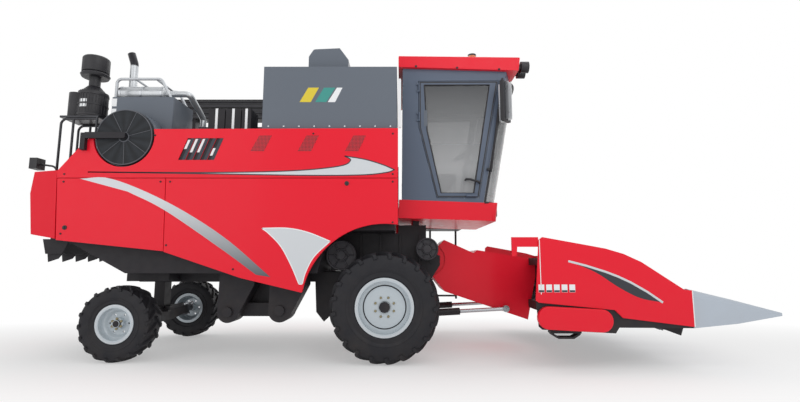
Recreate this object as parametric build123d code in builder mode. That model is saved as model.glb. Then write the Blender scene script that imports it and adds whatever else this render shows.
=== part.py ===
from build123d import *
import os
from math import atan2, cos, pi, radians, sin

# Self-propelled corn harvester with a row header, a cab over the feeder house, a grain tank
# behind the cab and the engine on the rear deck. Millimetres. +X forward, +Y to the
# machine's left, +Z up. The origin is on the ground below the middle of the overall box.

os.makedirs("parts", exist_ok=True)

# Overall
overall_length = 8556
header_width = 3200
half_length = overall_length / 2
header_half = header_width / 2
running_gap = 0.5
swing_gap = 6

# Running gear
wheelbase = 3065
front_axle_x = 90
rear_axle_x = front_axle_x - wheelbase
front_track = 2020
rear_track = 1860
kingpin_y = 640
steer_arm = 180
cylinder_arm = 110

# Chassis rails
rail_y_inner = 380
rail_y_outer = 460
rail_bottom = 880
rail_top = 1000
tow_x = -3100
tow_z = 965
tow_plate = 30
tow_radius = 16

# Body
body_half = 980
panel_inner = 1120
panel_thickness = 40
panel_outer = panel_inner + panel_thickness
seam_z = 2094
seam_gap = 6
body_rear_x = -3700
body_front_x = 241
body_top = 2640
deck_thickness = 25
deck_top = body_top + deck_thickness
arch_radius = 940
screen_x = -2963
screen_z = 2580
screen_radius = 335

# Grain tank
tank_rear_x = -1370
tank_front_x = 228
tank_half = 1120
tank_top = 3460
tank_wall = 30

# Cab
cab_half = 800
cab_wall = 45
cab_rear_x = 290
pillar_foot_x = 1300
pillar_lean = 0.1866
screen_foot_z = 1852
screen_head_z = 3380
windscreen_bulge = 165
windscreen_thickness = 12
base_rear_x = 252
base_rear_z = 1890
base_nose_x = pillar_foot_x - 30
roof_rear_x = 245
roof_front_x = 1784
roof_drop = 0.0308
roof_rear_z = 3573
door_thickness = 40
door_hinge_x = 503
door_hinge_y = cab_half + 12
door_hinges = (2900, 3280)
hinge_length = 70

# Header
feeder_pivot_x = 685
feeder_pivot_z = 1150
feeder_half = 400
pivot_pin_radius = 45
pin_clearance = 0.06
row_spacing = 600
row_count = 5
auger_x = 2270
auger_z = 790
auger_radius = 230
trough_radius = 252
sheet = 12
seat_gap = 0.3
header_back_x = auger_x - trough_radius - sheet
feeder_front_x = header_back_x - seat_gap
skin_inner = 1540
skin_outer = 1560
divider_front_x = 3293
lift_base_x = 230
lift_base_z = 470
lift_eye_x = 1600
lift_eye_z = 545
lift_y = 450
lift_eye_half = 34


def side_plate(outline, y_low, y_high, mode=Mode.ADD):
    """Extrude a closed X-Z outline from y_low to y_high."""
    with BuildSketch(Plane.XZ.offset(-y_high)) as face:
        with BuildLine():
            Polyline(*outline, close=True)
        make_face()
    extrude(face.sketch, amount=y_high - y_low, mode=mode)


def block(x, y, z, mode=Mode.ADD):
    """Box between the (low, high) pairs x, y and z."""
    with Locations(((x[0] + x[1]) / 2, (y[0] + y[1]) / 2, (z[0] + z[1]) / 2)):
        Box(x[1] - x[0], y[1] - y[0], z[1] - z[0], mode=mode)


def drum(x, z, radius, y_low, y_high, mode=Mode.ADD):
    """Cylinder about an axis along Y."""
    with Locations(Plane(origin=(x, y_high, z), x_dir=(1, 0, 0), z_dir=(0, -1, 0))):
        Cylinder(radius, y_high - y_low, align=(Align.CENTER, Align.CENTER, Align.MIN), mode=mode)


def rod(start, end, radius, mode=Mode.ADD):
    """Round bar from one point to another."""
    line = Vector(*end) - Vector(*start)
    with Locations(Plane(origin=start, z_dir=line)):
        Cylinder(radius, line.length, align=(Align.CENTER, Align.CENTER, Align.MIN), mode=mode)


def bent_tube(points, radius, bend):
    """Round tube along straight runs joined by arcs."""
    with BuildLine() as path:
        FilletPolyline(*points, radius=bend)
    with BuildSketch(Plane(origin=path.line @ 0, z_dir=path.line % 0)) as section:
        Circle(radius)
    sweep(section.sketch, path=path.line)


# Wheels. Each row of the table is an axle: name, x, tyre radius, tyre width, distance from
# the middle plane to the wheel's middle, rim seat radius, rim width, number of lugs a side.
rim_flange = 25
tyre_facets = 32
axles = (
    ("front", front_axle_x, 625, 378, front_track / 2, 305, 330, 16),
    ("rear", rear_axle_x, 430, 318, rear_track / 2, 195, 260, 14),
)


def ring_band(centre, near, far, mode=Mode.ADD):
    """Faceted band between two (distance from the middle, radius) pairs along a wheel's axle."""
    rings = []
    for out, radius in (near, far):
        with BuildSketch(Plane(origin=centre - Vector(0, out, 0), x_dir=(1, 0, 0), z_dir=(0, -1, 0))) as ring:
            RegularPolygon(radius, tyre_facets)
        rings.append(ring.sketch)
    loft(rings, ruled=True, mode=mode)


def build_tyre(x, radius, width, track, seat, rim_width, lug_count):
    """Right-hand tyre: a faceted carcass from bead to crown with slanted bars on both shoulders."""
    lug_height = 0.055 * radius
    crown = radius - lug_height
    bead = rim_width / 2 - sheet
    bore = (seat + rim_flange) / cos(pi / tyre_facets)
    middle = (width / 2, (seat + crown) / 2)
    shoulder = (width * 0.40, crown - lug_height * 0.5)
    centre = Vector(x, -track, radius)
    with BuildPart() as bars:
        for side in (1, -1):
            for number in range(lug_count):
                angle = radians(360 / lug_count * (number + (0.5 if side < 0 else 0)))
                out = Vector(sin(angle), 0, cos(angle))
                with BuildSketch(Plane(origin=centre + out * (crown - lug_height), x_dir=(0, -1, 0), z_dir=out)) as bar:
                    with Locations((side * width * 0.235, -width * 0.09)):
                        Rectangle(width * 0.50, width * 0.105, rotation=-side * 38)
                extrude(bar.sketch, amount=3 * lug_height)
        with Locations(Plane(origin=centre, z_dir=(0, -1, 0))):
            Cylinder(radius, width, mode=Mode.INTERSECT)
    with BuildPart() as tyre:
        for side in (1, -1):
            ring_band(centre, (0, crown), (side * shoulder[0], shoulder[1]))
            ring_band(centre, (side * shoulder[0], shoulder[1]), (side * middle[0], middle[1]))
        add(bars.part)
        for side in (1, -1):
            ring_band(centre, (side * bead, bore), (side * middle[0], middle[1]), mode=Mode.SUBTRACT)
        with Locations(Plane(origin=centre, z_dir=(0, -1, 0))):
            Cylinder(seat, width, mode=Mode.SUBTRACT)
    return tyre.part


def build_rim(x, radius, track, seat, rim_width, bolt_count, hub_length):
    """Right-hand rim: flanged barrel, dished disc with a ring of holes, and the hub."""
    section = Plane(origin=(x, -track, radius), x_dir=(0, -1, 0), z_dir=(-1, 0, 0))
    spin = Axis((x, -track, radius), (0, -1, 0))
    edge = rim_width / 2
    flange = seat + rim_flange
    disc = 0.18 * rim_width
    hub = 0.34 * seat
    with BuildPart() as rim:
        with BuildSketch(section) as barrel:
            with BuildLine():
                Polyline(
                    (-edge, seat - sheet), (edge, seat - sheet), (edge, flange),
                    (edge - sheet, flange), (edge - sheet, seat), (sheet - edge, seat),
                    (sheet - edge, flange), (-edge, flange), close=True,
                )
            make_face()
        revolve(barrel.sketch, axis=spin)
        with BuildSketch(section) as dish:
            with BuildLine():
                Polyline(
                    (disc, seat - 2), (disc + 14, seat - 2), (disc + 14, seat * 0.82),
                    (disc - 26, seat * 0.66), (disc - 26, hub - 5), (disc - 44, hub - 5),
                    (disc - 44, seat * 0.68), (disc - 4, seat * 0.84), close=True,
                )
            make_face()
        revolve(dish.sketch, axis=spin)
        outward = Plane(origin=(x, -track, radius), x_dir=(1, 0, 0), z_dir=(0, -1, 0))
        with Locations(outward.offset(disc - 44)):
            with PolarLocations(seat * 0.56, bolt_count):
                Cylinder(seat * 0.055, 160, mode=Mode.SUBTRACT)
        with Locations(outward.offset(disc + 22)):
            Cylinder(hub, hub_length, align=(Align.CENTER, Align.CENTER, Align.MAX))
            Cylinder(hub * 0.62, 26, align=(Align.CENTER, Align.CENTER, Align.MIN))
    return rim.part


for name, x, radius, width, track, seat, rim_width, lugs in axles:
    right_tyre = build_tyre(x, radius, width, track, seat, rim_width, lugs)
    bolts = 8 if name == "front" else 6
    hub_length = 170 if name == "front" else 120
    right_rim = build_rim(x, radius, track, seat, rim_width, bolts, hub_length)
    for side in ("right", "left"):
        with BuildPart() as tyre:
            add(right_tyre) if side == "right" else mirror(right_tyre, about=Plane.XZ)
        tyre.part.label = f"tyre_{name}_{side}"
        export_step(tyre.part, f"parts/tyre_{name}_{side}.step")
        with BuildPart() as rim:
            add(right_rim) if side == "right" else mirror(right_rim, about=Plane.XZ)
        rim.part.label = f"rim_{name}_{side}"
        export_step(rim.part, f"parts/rim_{name}_{side}.step")

front_radius = axles[0][2]
rear_radius = axles[1][2]
front_hub_inner = front_track / 2 + 0.18 * axles[0][6] + 22 - 170
rear_hub_inner = rear_track / 2 + 0.18 * axles[1][6] + 22 - 120


def cab_floor(x):
    """Height of the cab base's underside."""
    return 1663 - 37 * (x - 242) / 1203


# Chassis frame: two rails, cross members, posts under the body and cab, feeder pivot plates
with BuildPart() as chassis_frame:
    block((-3050, 640), (rail_y_inner, rail_y_outer), (rail_bottom, rail_top))
    for post_x in (-250, 110):
        block((post_x, post_x + 80), (rail_y_inner, rail_y_outer), (rail_top, 1500))
    side_plate(
        [(430, rail_top), (430, cab_floor(430) - seat_gap), (510, cab_floor(510) - seat_gap), (510, rail_top)],
        rail_y_inner, rail_y_outer,
    )
    side_plate(
        [(540, rail_bottom), (640, rail_bottom), (feeder_pivot_x + 90, feeder_pivot_z - 60),
         (feeder_pivot_x + 90, feeder_pivot_z + 60), (feeder_pivot_x - 60, feeder_pivot_z + 110),
         (540, feeder_pivot_z)],
        feeder_half + 5, rail_y_outer,
    )
    side_plate(
        [(-820, rail_bottom), (-560, rail_bottom), (-590, 480), (-700, 380), (-800, 500)],
        rail_y_inner + 10, rail_y_outer - 40,
    )
    drum(feeder_pivot_x, feeder_pivot_z, pivot_pin_radius, feeder_half - 110, rail_y_outer + 12)
    mirror(about=Plane.XZ)
    for beam_x in (-2980, -2250, -1480, -1000, -380, 240):
        block((beam_x, beam_x + 70), (-rail_y_inner, rail_y_inner), (rail_bottom + 20, rail_top))
    block((-3040, -2530), (-760, 760), (rail_bottom + 20, rail_top))
    block((tow_x - 40, -3040), (-60, 60), (tow_z - tow_plate, tow_z))
    with Locations((tow_x, 0, tow_z)):
        Cylinder(tow_radius, 3 * tow_plate, mode=Mode.SUBTRACT)
chassis_frame.part.label = "chassis_frame"
export_step(chassis_frame.part, "parts/chassis_frame.step")

# Front axle: transmission, beam and final drives, bolted under the rails
final_drive_end = front_hub_inner - running_gap
with BuildPart() as front_axle:
    block((front_axle_x - 90, front_axle_x + 90), (-720, 720), (front_radius - 85, front_radius + 85))
    fillet(front_axle.edges().filter_by(Axis.Y), radius=30)
    drum(front_axle_x, front_radius, 190, -230, 230)
    block((front_axle_x - 260, front_axle_x - 60), (-170, 170), (front_radius - 150, front_radius + 150))
    for side in (1, -1):
        drum(front_axle_x, front_radius, 165, min(side * 640, side * 790), max(side * 640, side * 790))
        near, far = sorted((side * 790, side * final_drive_end))
        drum(front_axle_x, front_radius, 95, near, far)
        near, far = sorted((side * rail_y_inner, side * rail_y_outer))
        block((front_axle_x - 80, front_axle_x + 80), (near, far), (front_radius + 60, rail_bottom))
    for side in (1, -1):
        lug_low, lug_high = sorted((side * (lift_y + 46), side * (lift_y + 68)))
        side_plate(
            [(front_axle_x, 560), (front_axle_x, 690), (lift_base_x + 40, lift_base_z + 40),
             (lift_base_x + 40, lift_base_z - 40), (lift_base_x - 40, lift_base_z - 40)],
            lug_low, lug_high,
        )
        near, far = sorted((side * (lift_y - 30), side * (lift_y + 68)))
        drum(lift_base_x, lift_base_z, 20, near, far)
front_axle.part.label = "front_axle"
export_step(front_axle.part, "parts/front_axle.step")

# Rear axle: tapered beam on a centre pivot, with an eye for the kingpin at each end
eye_low = rear_radius - 50
eye_high = rear_radius + 50
kingpin_radius = 25
with BuildPart() as rear_axle:
    with BuildSketch(Plane.YZ.offset(rear_axle_x - 60)) as beam:
        with BuildLine():
            Polyline(
                (-kingpin_y, eye_low), (-530, eye_low), (-220, eye_low - 40), (220, eye_low - 40),
                (530, eye_low), (kingpin_y, eye_low), (kingpin_y, eye_high), (530, eye_high),
                (160, eye_high + 60), (-160, eye_high + 60), (-530, eye_high), (-kingpin_y, eye_high),
                close=True,
            )
        make_face()
    extrude(beam.sketch, amount=120)
    block((rear_axle_x - 70, rear_axle_x + 70), (-90, 90), (eye_high + 20, rail_bottom + 20))
    with Locations((rear_axle_x, kingpin_y, eye_low), (rear_axle_x, -kingpin_y, eye_low)):
        Cylinder(60, eye_high - eye_low, align=(Align.CENTER, Align.CENTER, Align.MIN))
        Cylinder(kingpin_radius + pin_clearance, 400, mode=Mode.SUBTRACT)
    block((rear_axle_x + 60, rear_axle_x + cylinder_arm + 26), (-100, -20), (eye_high - 10, eye_high + 12))
    with Locations((rear_axle_x + cylinder_arm, -60, eye_high + 12)):
        Cylinder(14, 45, align=(Align.CENTER, Align.CENTER, Align.MIN))
rear_axle.part.label = "rear_axle"
export_step(rear_axle.part, "parts/rear_axle.step")

# Steering knuckles: fork round the axle's eye, kingpin, spindle and steering arms
fork_gap = 5
fork_plate = 20
with BuildPart() as right_knuckle:
    for low in (eye_low - fork_gap - fork_plate, eye_high + fork_gap):
        with BuildSketch(Plane.XY.offset(low)) as fork:
            with Locations((rear_axle_x, -kingpin_y - 40)):
                RectangleRounded(110, 180, 30)
        extrude(fork.sketch, amount=fork_plate)
    block(
        (rear_axle_x - 50, rear_axle_x + 50), (-kingpin_y - 100, -kingpin_y - 68),
        (eye_low - fork_gap - 5, eye_high + fork_gap + 5),
    )
    with Locations((rear_axle_x, -kingpin_y, eye_low - fork_gap - fork_plate)):
        Cylinder(kingpin_radius, eye_high - eye_low + 2 * (fork_gap + fork_plate),
                 align=(Align.CENTER, Align.CENTER, Align.MIN))
    drum(rear_axle_x, rear_radius, 42, -rear_hub_inner + running_gap, -kingpin_y - 90)
    with BuildSketch(Plane.XY.offset(eye_low - fork_gap - fork_plate)) as arm:
        with Locations((rear_axle_x - steer_arm / 2, -kingpin_y)):
            SlotCenterToCenter(steer_arm, 56)
    extrude(arm.sketch, amount=fork_plate)
arm_top = eye_low - fork_gap
upper_top = eye_high + fork_gap + fork_plate
front_arm_angle = 15
for side in ("right", "left"):
    with BuildPart() as knuckle:
        add(right_knuckle.part) if side == "right" else mirror(right_knuckle.part, about=Plane.XZ)
        if side == "left":
            with BuildSketch(Plane.XY.offset(eye_high + fork_gap)) as arm:
                with Locations((rear_axle_x, kingpin_y)):
                    with Locations(Location((0, 0, 0), (0, 0, front_arm_angle))):
                        with Locations((cylinder_arm / 2, 0)):
                            SlotCenterToCenter(cylinder_arm, 50)
            extrude(arm.sketch, amount=fork_plate)
    knuckle.part.label = f"knuckle_{side}"
    export_step(knuckle.part, f"parts/knuckle_{side}.step")

# Tie rod between the rear arms, its eyes resting on them
with BuildPart() as tie_rod:
    with Locations(
        (rear_axle_x - steer_arm, kingpin_y, arm_top + running_gap),
        (rear_axle_x - steer_arm, -kingpin_y, arm_top + running_gap),
    ):
        Cylinder(28, 34, align=(Align.CENTER, Align.CENTER, Align.MIN))
        Cylinder(14, 46, align=(Align.CENTER, Align.CENTER, Align.MIN))
    rod(
        (rear_axle_x - steer_arm, -kingpin_y, arm_top + running_gap + 18),
        (rear_axle_x - steer_arm, kingpin_y, arm_top + running_gap + 18), 16,
    )
tie_rod.part.label = "tie_rod"
export_step(tie_rod.part, "parts/tie_rod.step")

# Steering cylinder: barrel on the axle bracket's pin, rod to the left knuckle's front arm
steer_base = Vector(rear_axle_x + cylinder_arm, -60, upper_top + running_gap + 18)
steer_eye = Vector(
    rear_axle_x + cylinder_arm * cos(radians(front_arm_angle)),
    kingpin_y + cylinder_arm * sin(radians(front_arm_angle)),
    upper_top + running_gap + 18,
)
steer_line = (steer_eye - steer_base).normalized()
steer_bore = 14.5
with BuildPart() as steering_barrel:
    rod(steer_base, steer_base + steer_line * 420, 28)
    rod(steer_base + steer_line * 150, steer_base + steer_line * 421, steer_bore, mode=Mode.SUBTRACT)
    with Locations(steer_base):
        Cylinder(32, 36)
        Cylinder(14 + pin_clearance, 60, mode=Mode.SUBTRACT)
steering_barrel.part.label = "steering_barrel"
export_step(steering_barrel.part, "parts/steering_barrel.step")
with BuildPart() as steering_rod:
    rod(steer_base + steer_line * 260, steer_eye, steer_bore - running_gap)
    with Locations(steer_eye):
        Cylinder(26, 36)
        Cylinder(12, 52, align=(Align.CENTER, Align.CENTER, Align.CENTER))
    with Locations(steer_eye - Vector(0, 0, 18)):
        Cylinder(30, 10, align=(Align.CENTER, Align.CENTER, Align.MAX), mode=Mode.SUBTRACT)
steering_rod.part.label = "steering_rod"
export_step(steering_rod.part, "parts/steering_rod.step")

# Husking body: the closed middle of the machine, with rails that carry the side panels and
# a deck plate notched for the engine
engine_x = (-2460, -1480)
engine_y = (-350, 400)
engine_z = (2060, 2940)
with BuildPart() as husking_body:
    side_plate(
        [(-3690, 1400), (-2940, rail_top), (-700, rail_top), (-640, 1250), (-480, 1500),
         (200, 1500), (200, body_top), (-3380, body_top), (-3385, 2500), (-3690, 2130)],
        -body_half, body_half,
    )
    block((-3378, tank_rear_x - 4), (-body_half, body_half), (body_top - 1, deck_top))
    block(engine_x, engine_y, (engine_z[0], deck_top + 1), mode=Mode.SUBTRACT)
    for side in (1, -1):
        near, far = sorted((side * body_half, side * panel_inner))
        block((-3680, 220), (near, far), (seam_z - 40, seam_z + 40))
        block((screen_x + screen_radius + 60, 200), (near, far), (body_top - 60, body_top))
        for bracket_x, bracket_z in ((-3600, 1440), (-2700, 1330), (-1800, 1090), (-900, 1060)):
            block((bracket_x, bracket_x + 120), (near, far), (bracket_z, bracket_z + 50))
husking_body.part.label = "husking_body"
export_step(husking_body.part, "parts/husking_body.step")

# Side panels: the upper ones carry a louvre and perforated patches, the right one is cut
# out round the rotary screen; the lower ones end at the wheel arch.
upper_outline = [
    (body_rear_x - 3, seam_z + seam_gap / 2), (-3709, 2176), (-3394, 2556),
    (screen_x - 287, 2590), (screen_x + 263, 2676), (body_front_x, 2688),
    (body_front_x, seam_z + seam_gap / 2),
]
plain_outline = upper_outline[:3] + [(-3290, 2676)] + upper_outline[5:]
louvre_outline = [(-2217, 2568), (-1795, 2568), (-1898, 2306), (-2317, 2306)]
patch_slant = -146
with BuildPart() as upper_panels:
    side_plate(upper_outline, -panel_outer, -panel_inner)
    drum(screen_x, screen_z, screen_radius + 20, -panel_outer - 1, -panel_inner + 1, mode=Mode.SUBTRACT)
    side_plate(plain_outline, panel_inner, panel_outer)
    for side in (1, -1):
        near, far = sorted((side * (panel_outer - 14), side * (panel_outer + 1)))
        side_plate(louvre_outline, near, far, mode=Mode.SUBTRACT)
        near, far = sorted((side * (panel_outer - 14), side * (panel_outer - 3)))
        for slat in range(5):
            slat_x = -2175 + 84 * slat
            side_plate(
                [(slat_x, 2568), (slat_x + 42, 2568), (slat_x - 58, 2306), (slat_x - 100, 2306)], near, far
            )
upper_panels.part.label = "upper_side_panels"
export_step(upper_panels.part, "parts/upper_side_panels.step")

vertical_seam_x = -2445
with BuildPart() as lower_panels:
    for side in (1, -1):
        near, far = sorted((side * panel_inner, side * panel_outer))
        side_plate(
            [(vertical_seam_x + 3, seam_z - 3), (body_front_x, seam_z - 3), (body_front_x, 1500),
             (-845, 790), (-1535, 952), (-2417, 1245)],
            near, far,
        )
        side_plate(
            [(body_rear_x, seam_z - 3), (vertical_seam_x - 3, seam_z - 3), (-2423, 1252), (-3651, 1379)],
            near, far,
        )
    drum(front_axle_x, front_radius, arch_radius, -panel_outer - 1, panel_outer + 1, mode=Mode.SUBTRACT)
lower_panels.part.label = "lower_side_panels"
export_step(lower_panels.part, "parts/lower_side_panels.step")

# Rear hood: wraps round the back of the body
hood_wall = 40
hood_front_z = 2185
hood_rear_z = 2164
hood_top_rear_x = -3985


def hood_top(x):
    """Height of the rear hood's upper face."""
    front_x = body_rear_x - 10
    return hood_front_z + (hood_rear_z - hood_front_z) * (x - front_x) / (hood_top_rear_x - front_x)


with BuildPart() as rear_hood:
    side_plate(
        [(body_rear_x - 10, hood_front_z), (hood_top_rear_x, hood_rear_z), (-4012, 1918), (-3959, 1447), (-3665, 1395),
         (body_rear_x - 6, seam_z)],
        -panel_outer, panel_outer,
    )
    side_plate(
        [(body_rear_x + 60, 2140), (-3950, 2124), (-3972, 1918), (-3925, 1480), (-3925, 1300), (-3600, 1300)],
        hood_wall - panel_outer, panel_outer - hood_wall, mode=Mode.SUBTRACT,
    )
    rear_corners = rear_hood.edges().filter_by(lambda edge: abs(edge.center().Y) > panel_outer - 1)
    fillet(rear_corners.filter_by(lambda edge: edge.center().X < -3960), radius=35)
    for side in (1, -1):
        near, far = sorted((side * 600, side * 680))
        block((-3960, -3690), (near, far), (2070, 2126))
rear_hood.part.label = "rear_hood"
export_step(rear_hood.part, "parts/rear_hood.step")

# Straw chopper below the hood, with vanes under its outlet
with BuildPart() as straw_chopper:
    side_plate(
        [(-3690, 1400), (-3690, 1640), (-3900, 1640), (-3920, 1402), (-4010, 1402), (-3965, 1226),
         (-3765, 1226)],
        -880, 880,
    )
    for vane in range(8):
        vane_y = -840 + 240 * vane
        side_plate([(-3965, 1227), (-3785, 1227), (-3830, 1170), (-3950, 1130)], vane_y - 5, vane_y + 5)
straw_chopper.part.label = "straw_chopper"
export_step(straw_chopper.part, "parts/straw_chopper.step")

# Lower conveyors: two elevator boots on the right and the trough between them
boots = ((-1766, 545, 126, -860, -600), (-1128, 573, 135, -960, -700))
with BuildPart() as lower_conveyors:
    for boot_x, boot_z, boot_radius, low, high in boots:
        drum(boot_x, boot_z, boot_radius, low, high)
        side_plate(
            [(boot_x - boot_radius * 0.98, boot_z + 20), (boot_x - boot_radius * 0.9, rail_top),
             (boot_x + 300, rail_top), (boot_x + 300, rail_top - 140),
             (boot_x + boot_radius * 0.9, boot_z - boot_radius * 0.4)],
            low, high,
        )
        drum(boot_x, boot_z, 58, low - 30, low)
    side_plate(
        [(-1900, 860), (-1640, 470), (-1290, 470), (-1040, 860)], -600, 340 - rail_y_inner,
    )
    block((-1700, -1200), (-700, -600), (480, 640))
lower_conveyors.part.label = "lower_conveyors"
export_step(lower_conveyors.part, "parts/lower_conveyors.step")

# Drive pulleys inside the right wheel arch, each on a shaft from its bracket
pulleys = ((-449, 1212, 180, -790), (601, 1290, 140, -660))
with BuildPart() as drive_pulleys:
    for pulley_x, pulley_z, pulley_radius, low in pulleys:
        drum(pulley_x, pulley_z, pulley_radius, low, low + 60)
        drum(pulley_x, pulley_z, pulley_radius - 22, low - 1, low + 14, mode=Mode.SUBTRACT)
        drum(pulley_x, pulley_z, 48, low - 12, low + 20)
        drum(pulley_x, pulley_z, 24, low + 50, -rail_y_inner - 20)
    block((-500, -400), (-rail_y_outer, -rail_y_inner), (rail_top, 1260))
    side_plate(
        [(560, 1176.4), (625, 1260.4), (640, 1255.4), (640, 1340), (560, 1340)], -rail_y_outer, -feeder_half - 5
    )
drive_pulleys.part.label = "drive_pulleys"
export_step(drive_pulleys.part, "parts/drive_pulleys.step")

with BuildPart() as engine_block:
    block(engine_x, engine_y, engine_z)
engine_block.part.label = "engine_block"
export_step(engine_block.part, "parts/engine_block.step")

# Radiator box with the shroud ring behind the rotary screen
radiator_x = (-3310, -2540)
radiator_y = (-900, -350)
radiator_top = 3160
shroud_radius = screen_radius + 10
shroud_outer = -1112
with BuildPart() as radiator_box:
    block(radiator_x, radiator_y, (deck_top, radiator_top))
    fillet(radiator_box.edges().filter_by(Axis.Z), radius=20)
    drum(screen_x, screen_z, shroud_radius, shroud_outer, radiator_y[0])
    block((-3400, -2500), (-body_half, radiator_y[0] + 1), (screen_z - 400, deck_top), mode=Mode.SUBTRACT)
    drum(screen_x, screen_z, screen_radius - 30, shroud_outer - 1, shroud_outer + 60, mode=Mode.SUBTRACT)
    drum(screen_x, screen_z, 22, shroud_outer, shroud_outer + 61)
radiator_box.part.label = "radiator_box"
export_step(radiator_box.part, "parts/radiator_box.step")

# Rotary dust screen and the suction arm in front of it
screen_face = -1160
with BuildPart() as rotary_screen:
    drum(screen_x, screen_z, screen_radius, screen_face, shroud_outer - running_gap)
    chamfer(rotary_screen.edges().filter_by(GeomType.CIRCLE).sort_by(Axis.Y)[0], length=14)
    drum(screen_x, screen_z, 36, screen_face - 10, screen_face)
rotary_screen.part.label = "rotary_screen"
export_step(rotary_screen.part, "parts/rotary_screen.step")

arm_face = screen_face - 18
with BuildPart() as suction_arm:
    block((-3400, -2925), (arm_face - 34, arm_face), (2555, 2627))
    fillet(suction_arm.edges().filter_by(Axis.Y), radius=16)
    block((-3440, -3385), (arm_face - 34, -panel_outer), (2420, 2620))
suction_arm.part.label = "suction_arm"
export_step(suction_arm.part, "parts/suction_arm.step")

# Exhaust: horizontal muffler over the radiator box and a stack at its rear end
muffler_y = -640
muffler_z = 3290
with BuildPart() as exhaust:
    rod((-3370, muffler_y, muffler_z), (-2760, muffler_y, muffler_z), 95)
    fillet(exhaust.edges().filter_by(GeomType.CIRCLE), radius=25)
    bent_tube(
        [(-3214, muffler_y, muffler_z + 60), (-3214, muffler_y, 3700), (-3262, muffler_y, 3840)], 48, 120
    )
    bent_tube(
        [(-2775, muffler_y, muffler_z), (-2470, muffler_y, muffler_z), (-2420, -300, 3060),
         (-2420, -300, engine_z[1] + running_gap)], 40, 55,
    )
    for foot_x in (-3280, -2860):
        block((foot_x, foot_x + 40), (muffler_y - 60, muffler_y + 60), (radiator_top, muffler_z - 60))
exhaust.part.label = "exhaust"
export_step(exhaust.part, "parts/exhaust.step")

# Air cleaner on its bent-tube stand behind the body's slope
stand_top = 2905
cleaner_x = -3605
cleaner_y = -800
with BuildPart() as air_cleaner:
    with Locations((cleaner_x, cleaner_y, stand_top)):
        Cylinder(166, 331, align=(Align.CENTER, Align.CENTER, Align.MIN))
    with Locations((-3790, cleaner_y - 20, stand_top)):
        Cylinder(93, 320, align=(Align.CENTER, Align.CENTER, Align.MIN))
    with Locations((cleaner_x, cleaner_y, stand_top + 331)):
        Cone(150, 75, 85, align=(Align.CENTER, Align.CENTER, Align.MIN))
    with Locations((cleaner_x, cleaner_y, stand_top + 410)):
        Cylinder(64, 145, align=(Align.CENTER, Align.CENTER, Align.MIN))
    with Locations((cleaner_x, cleaner_y, stand_top + 540)):
        Cone(150, 165, 30, align=(Align.CENTER, Align.CENTER, Align.MIN))
    with Locations((cleaner_x, cleaner_y, stand_top + 570)):
        Cone(165, 140, 30, align=(Align.CENTER, Align.CENTER, Align.MIN))
    with Locations((cleaner_x, cleaner_y, stand_top + 600)):
        Cylinder(153, 202, align=(Align.CENTER, Align.CENTER, Align.MIN))
    fillet(air_cleaner.edges().filter_by(GeomType.CIRCLE).sort_by(Axis.Z)[-1], radius=30)
air_cleaner.part.label = "air_cleaner"
export_step(air_cleaner.part, "parts/air_cleaner.step")

# Bent tubes on the deck: the air cleaner's stand and the guard rails over the radiator box
with BuildPart() as deck_rails:
    block((-3890, -3420), (-960, -620), (stand_top - 25, stand_top))
    for leg_y in (-945, -635):
        bent_tube(
            [(-3440, leg_y, stand_top - 39), (-3875, leg_y, stand_top - 39),
             (-3875, leg_y, hood_top(-3875) + 1.4)], 14, 70
        )
        rod((-3725, leg_y, hood_top(-3725) + 1.4), (-3725, leg_y, stand_top - 30), 14)
        rod((-3440, leg_y, 2451), (-3440, leg_y, stand_top - 25), 14)
    for guard_y in (-850, -400):
        bent_tube(
            [(-3290, guard_y, radiator_top + running_gap), (-3290, guard_y, 3412), (-2734, guard_y, 3412),
             (-2600, guard_y, radiator_top + 9)], 17, 60,
        )
    for bar_x in (-3060, -2800):
        rod((bar_x, -850, 3412), (bar_x, -400, 3412), 14)
deck_rails.part.label = "deck_rails"
export_step(deck_rails.part, "parts/deck_rails.step")

with BuildPart() as tool_boxes:
    for low, high in ((-2068, -1868), (-1858, -1672), (-1662, -1548)):
        block((low, high), (-975, -700), (deck_top, 2985))
    block((-2060, -1556), (-900, -780), (deck_top, 2900))
tool_boxes.part.label = "tool_boxes"
export_step(tool_boxes.part, "parts/tool_boxes.step")

# Grain tank: open box with a folded rim, standing on the body
with BuildPart() as grain_tank:
    block((tank_rear_x, tank_front_x), (-tank_half, tank_half), (body_top, tank_top))
    block(
        (tank_rear_x + tank_wall, tank_front_x - tank_wall), (tank_wall - tank_half, tank_half - tank_wall),
        (body_top + tank_wall, tank_top + 1), mode=Mode.SUBTRACT,
    )
    with BuildSketch(Plane.XY.offset(tank_top - 50)) as rim_ring:
        with Locations(((tank_rear_x + tank_front_x) / 2, 0)):
            Rectangle(tank_front_x - tank_rear_x, 2 * tank_half)
            Rectangle(tank_front_x - tank_rear_x - 140, 2 * tank_half - 140, mode=Mode.SUBTRACT)
    extrude(rim_ring.sketch, amount=50)
grain_tank.part.label = "grain_tank"
export_step(grain_tank.part, "parts/grain_tank.step")

# Elevator leg and head inside the tank's right side
with BuildPart() as elevator_head:
    side_plate(
        [(-860, body_top + tank_wall), (-860, 3640), (-800, 3735), (-480, 3750), (-370, 3600),
         (-370, 3420), (-560, 3300), (-560, body_top + tank_wall)],
        -1000, -620,
    )
    fillet(elevator_head.edges().filter_by(Axis.Y).sort_by(Axis.Z)[-3:-1], radius=40)
elevator_head.part.label = "elevator_head"
export_step(elevator_head.part, "parts/elevator_head.step")

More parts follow.
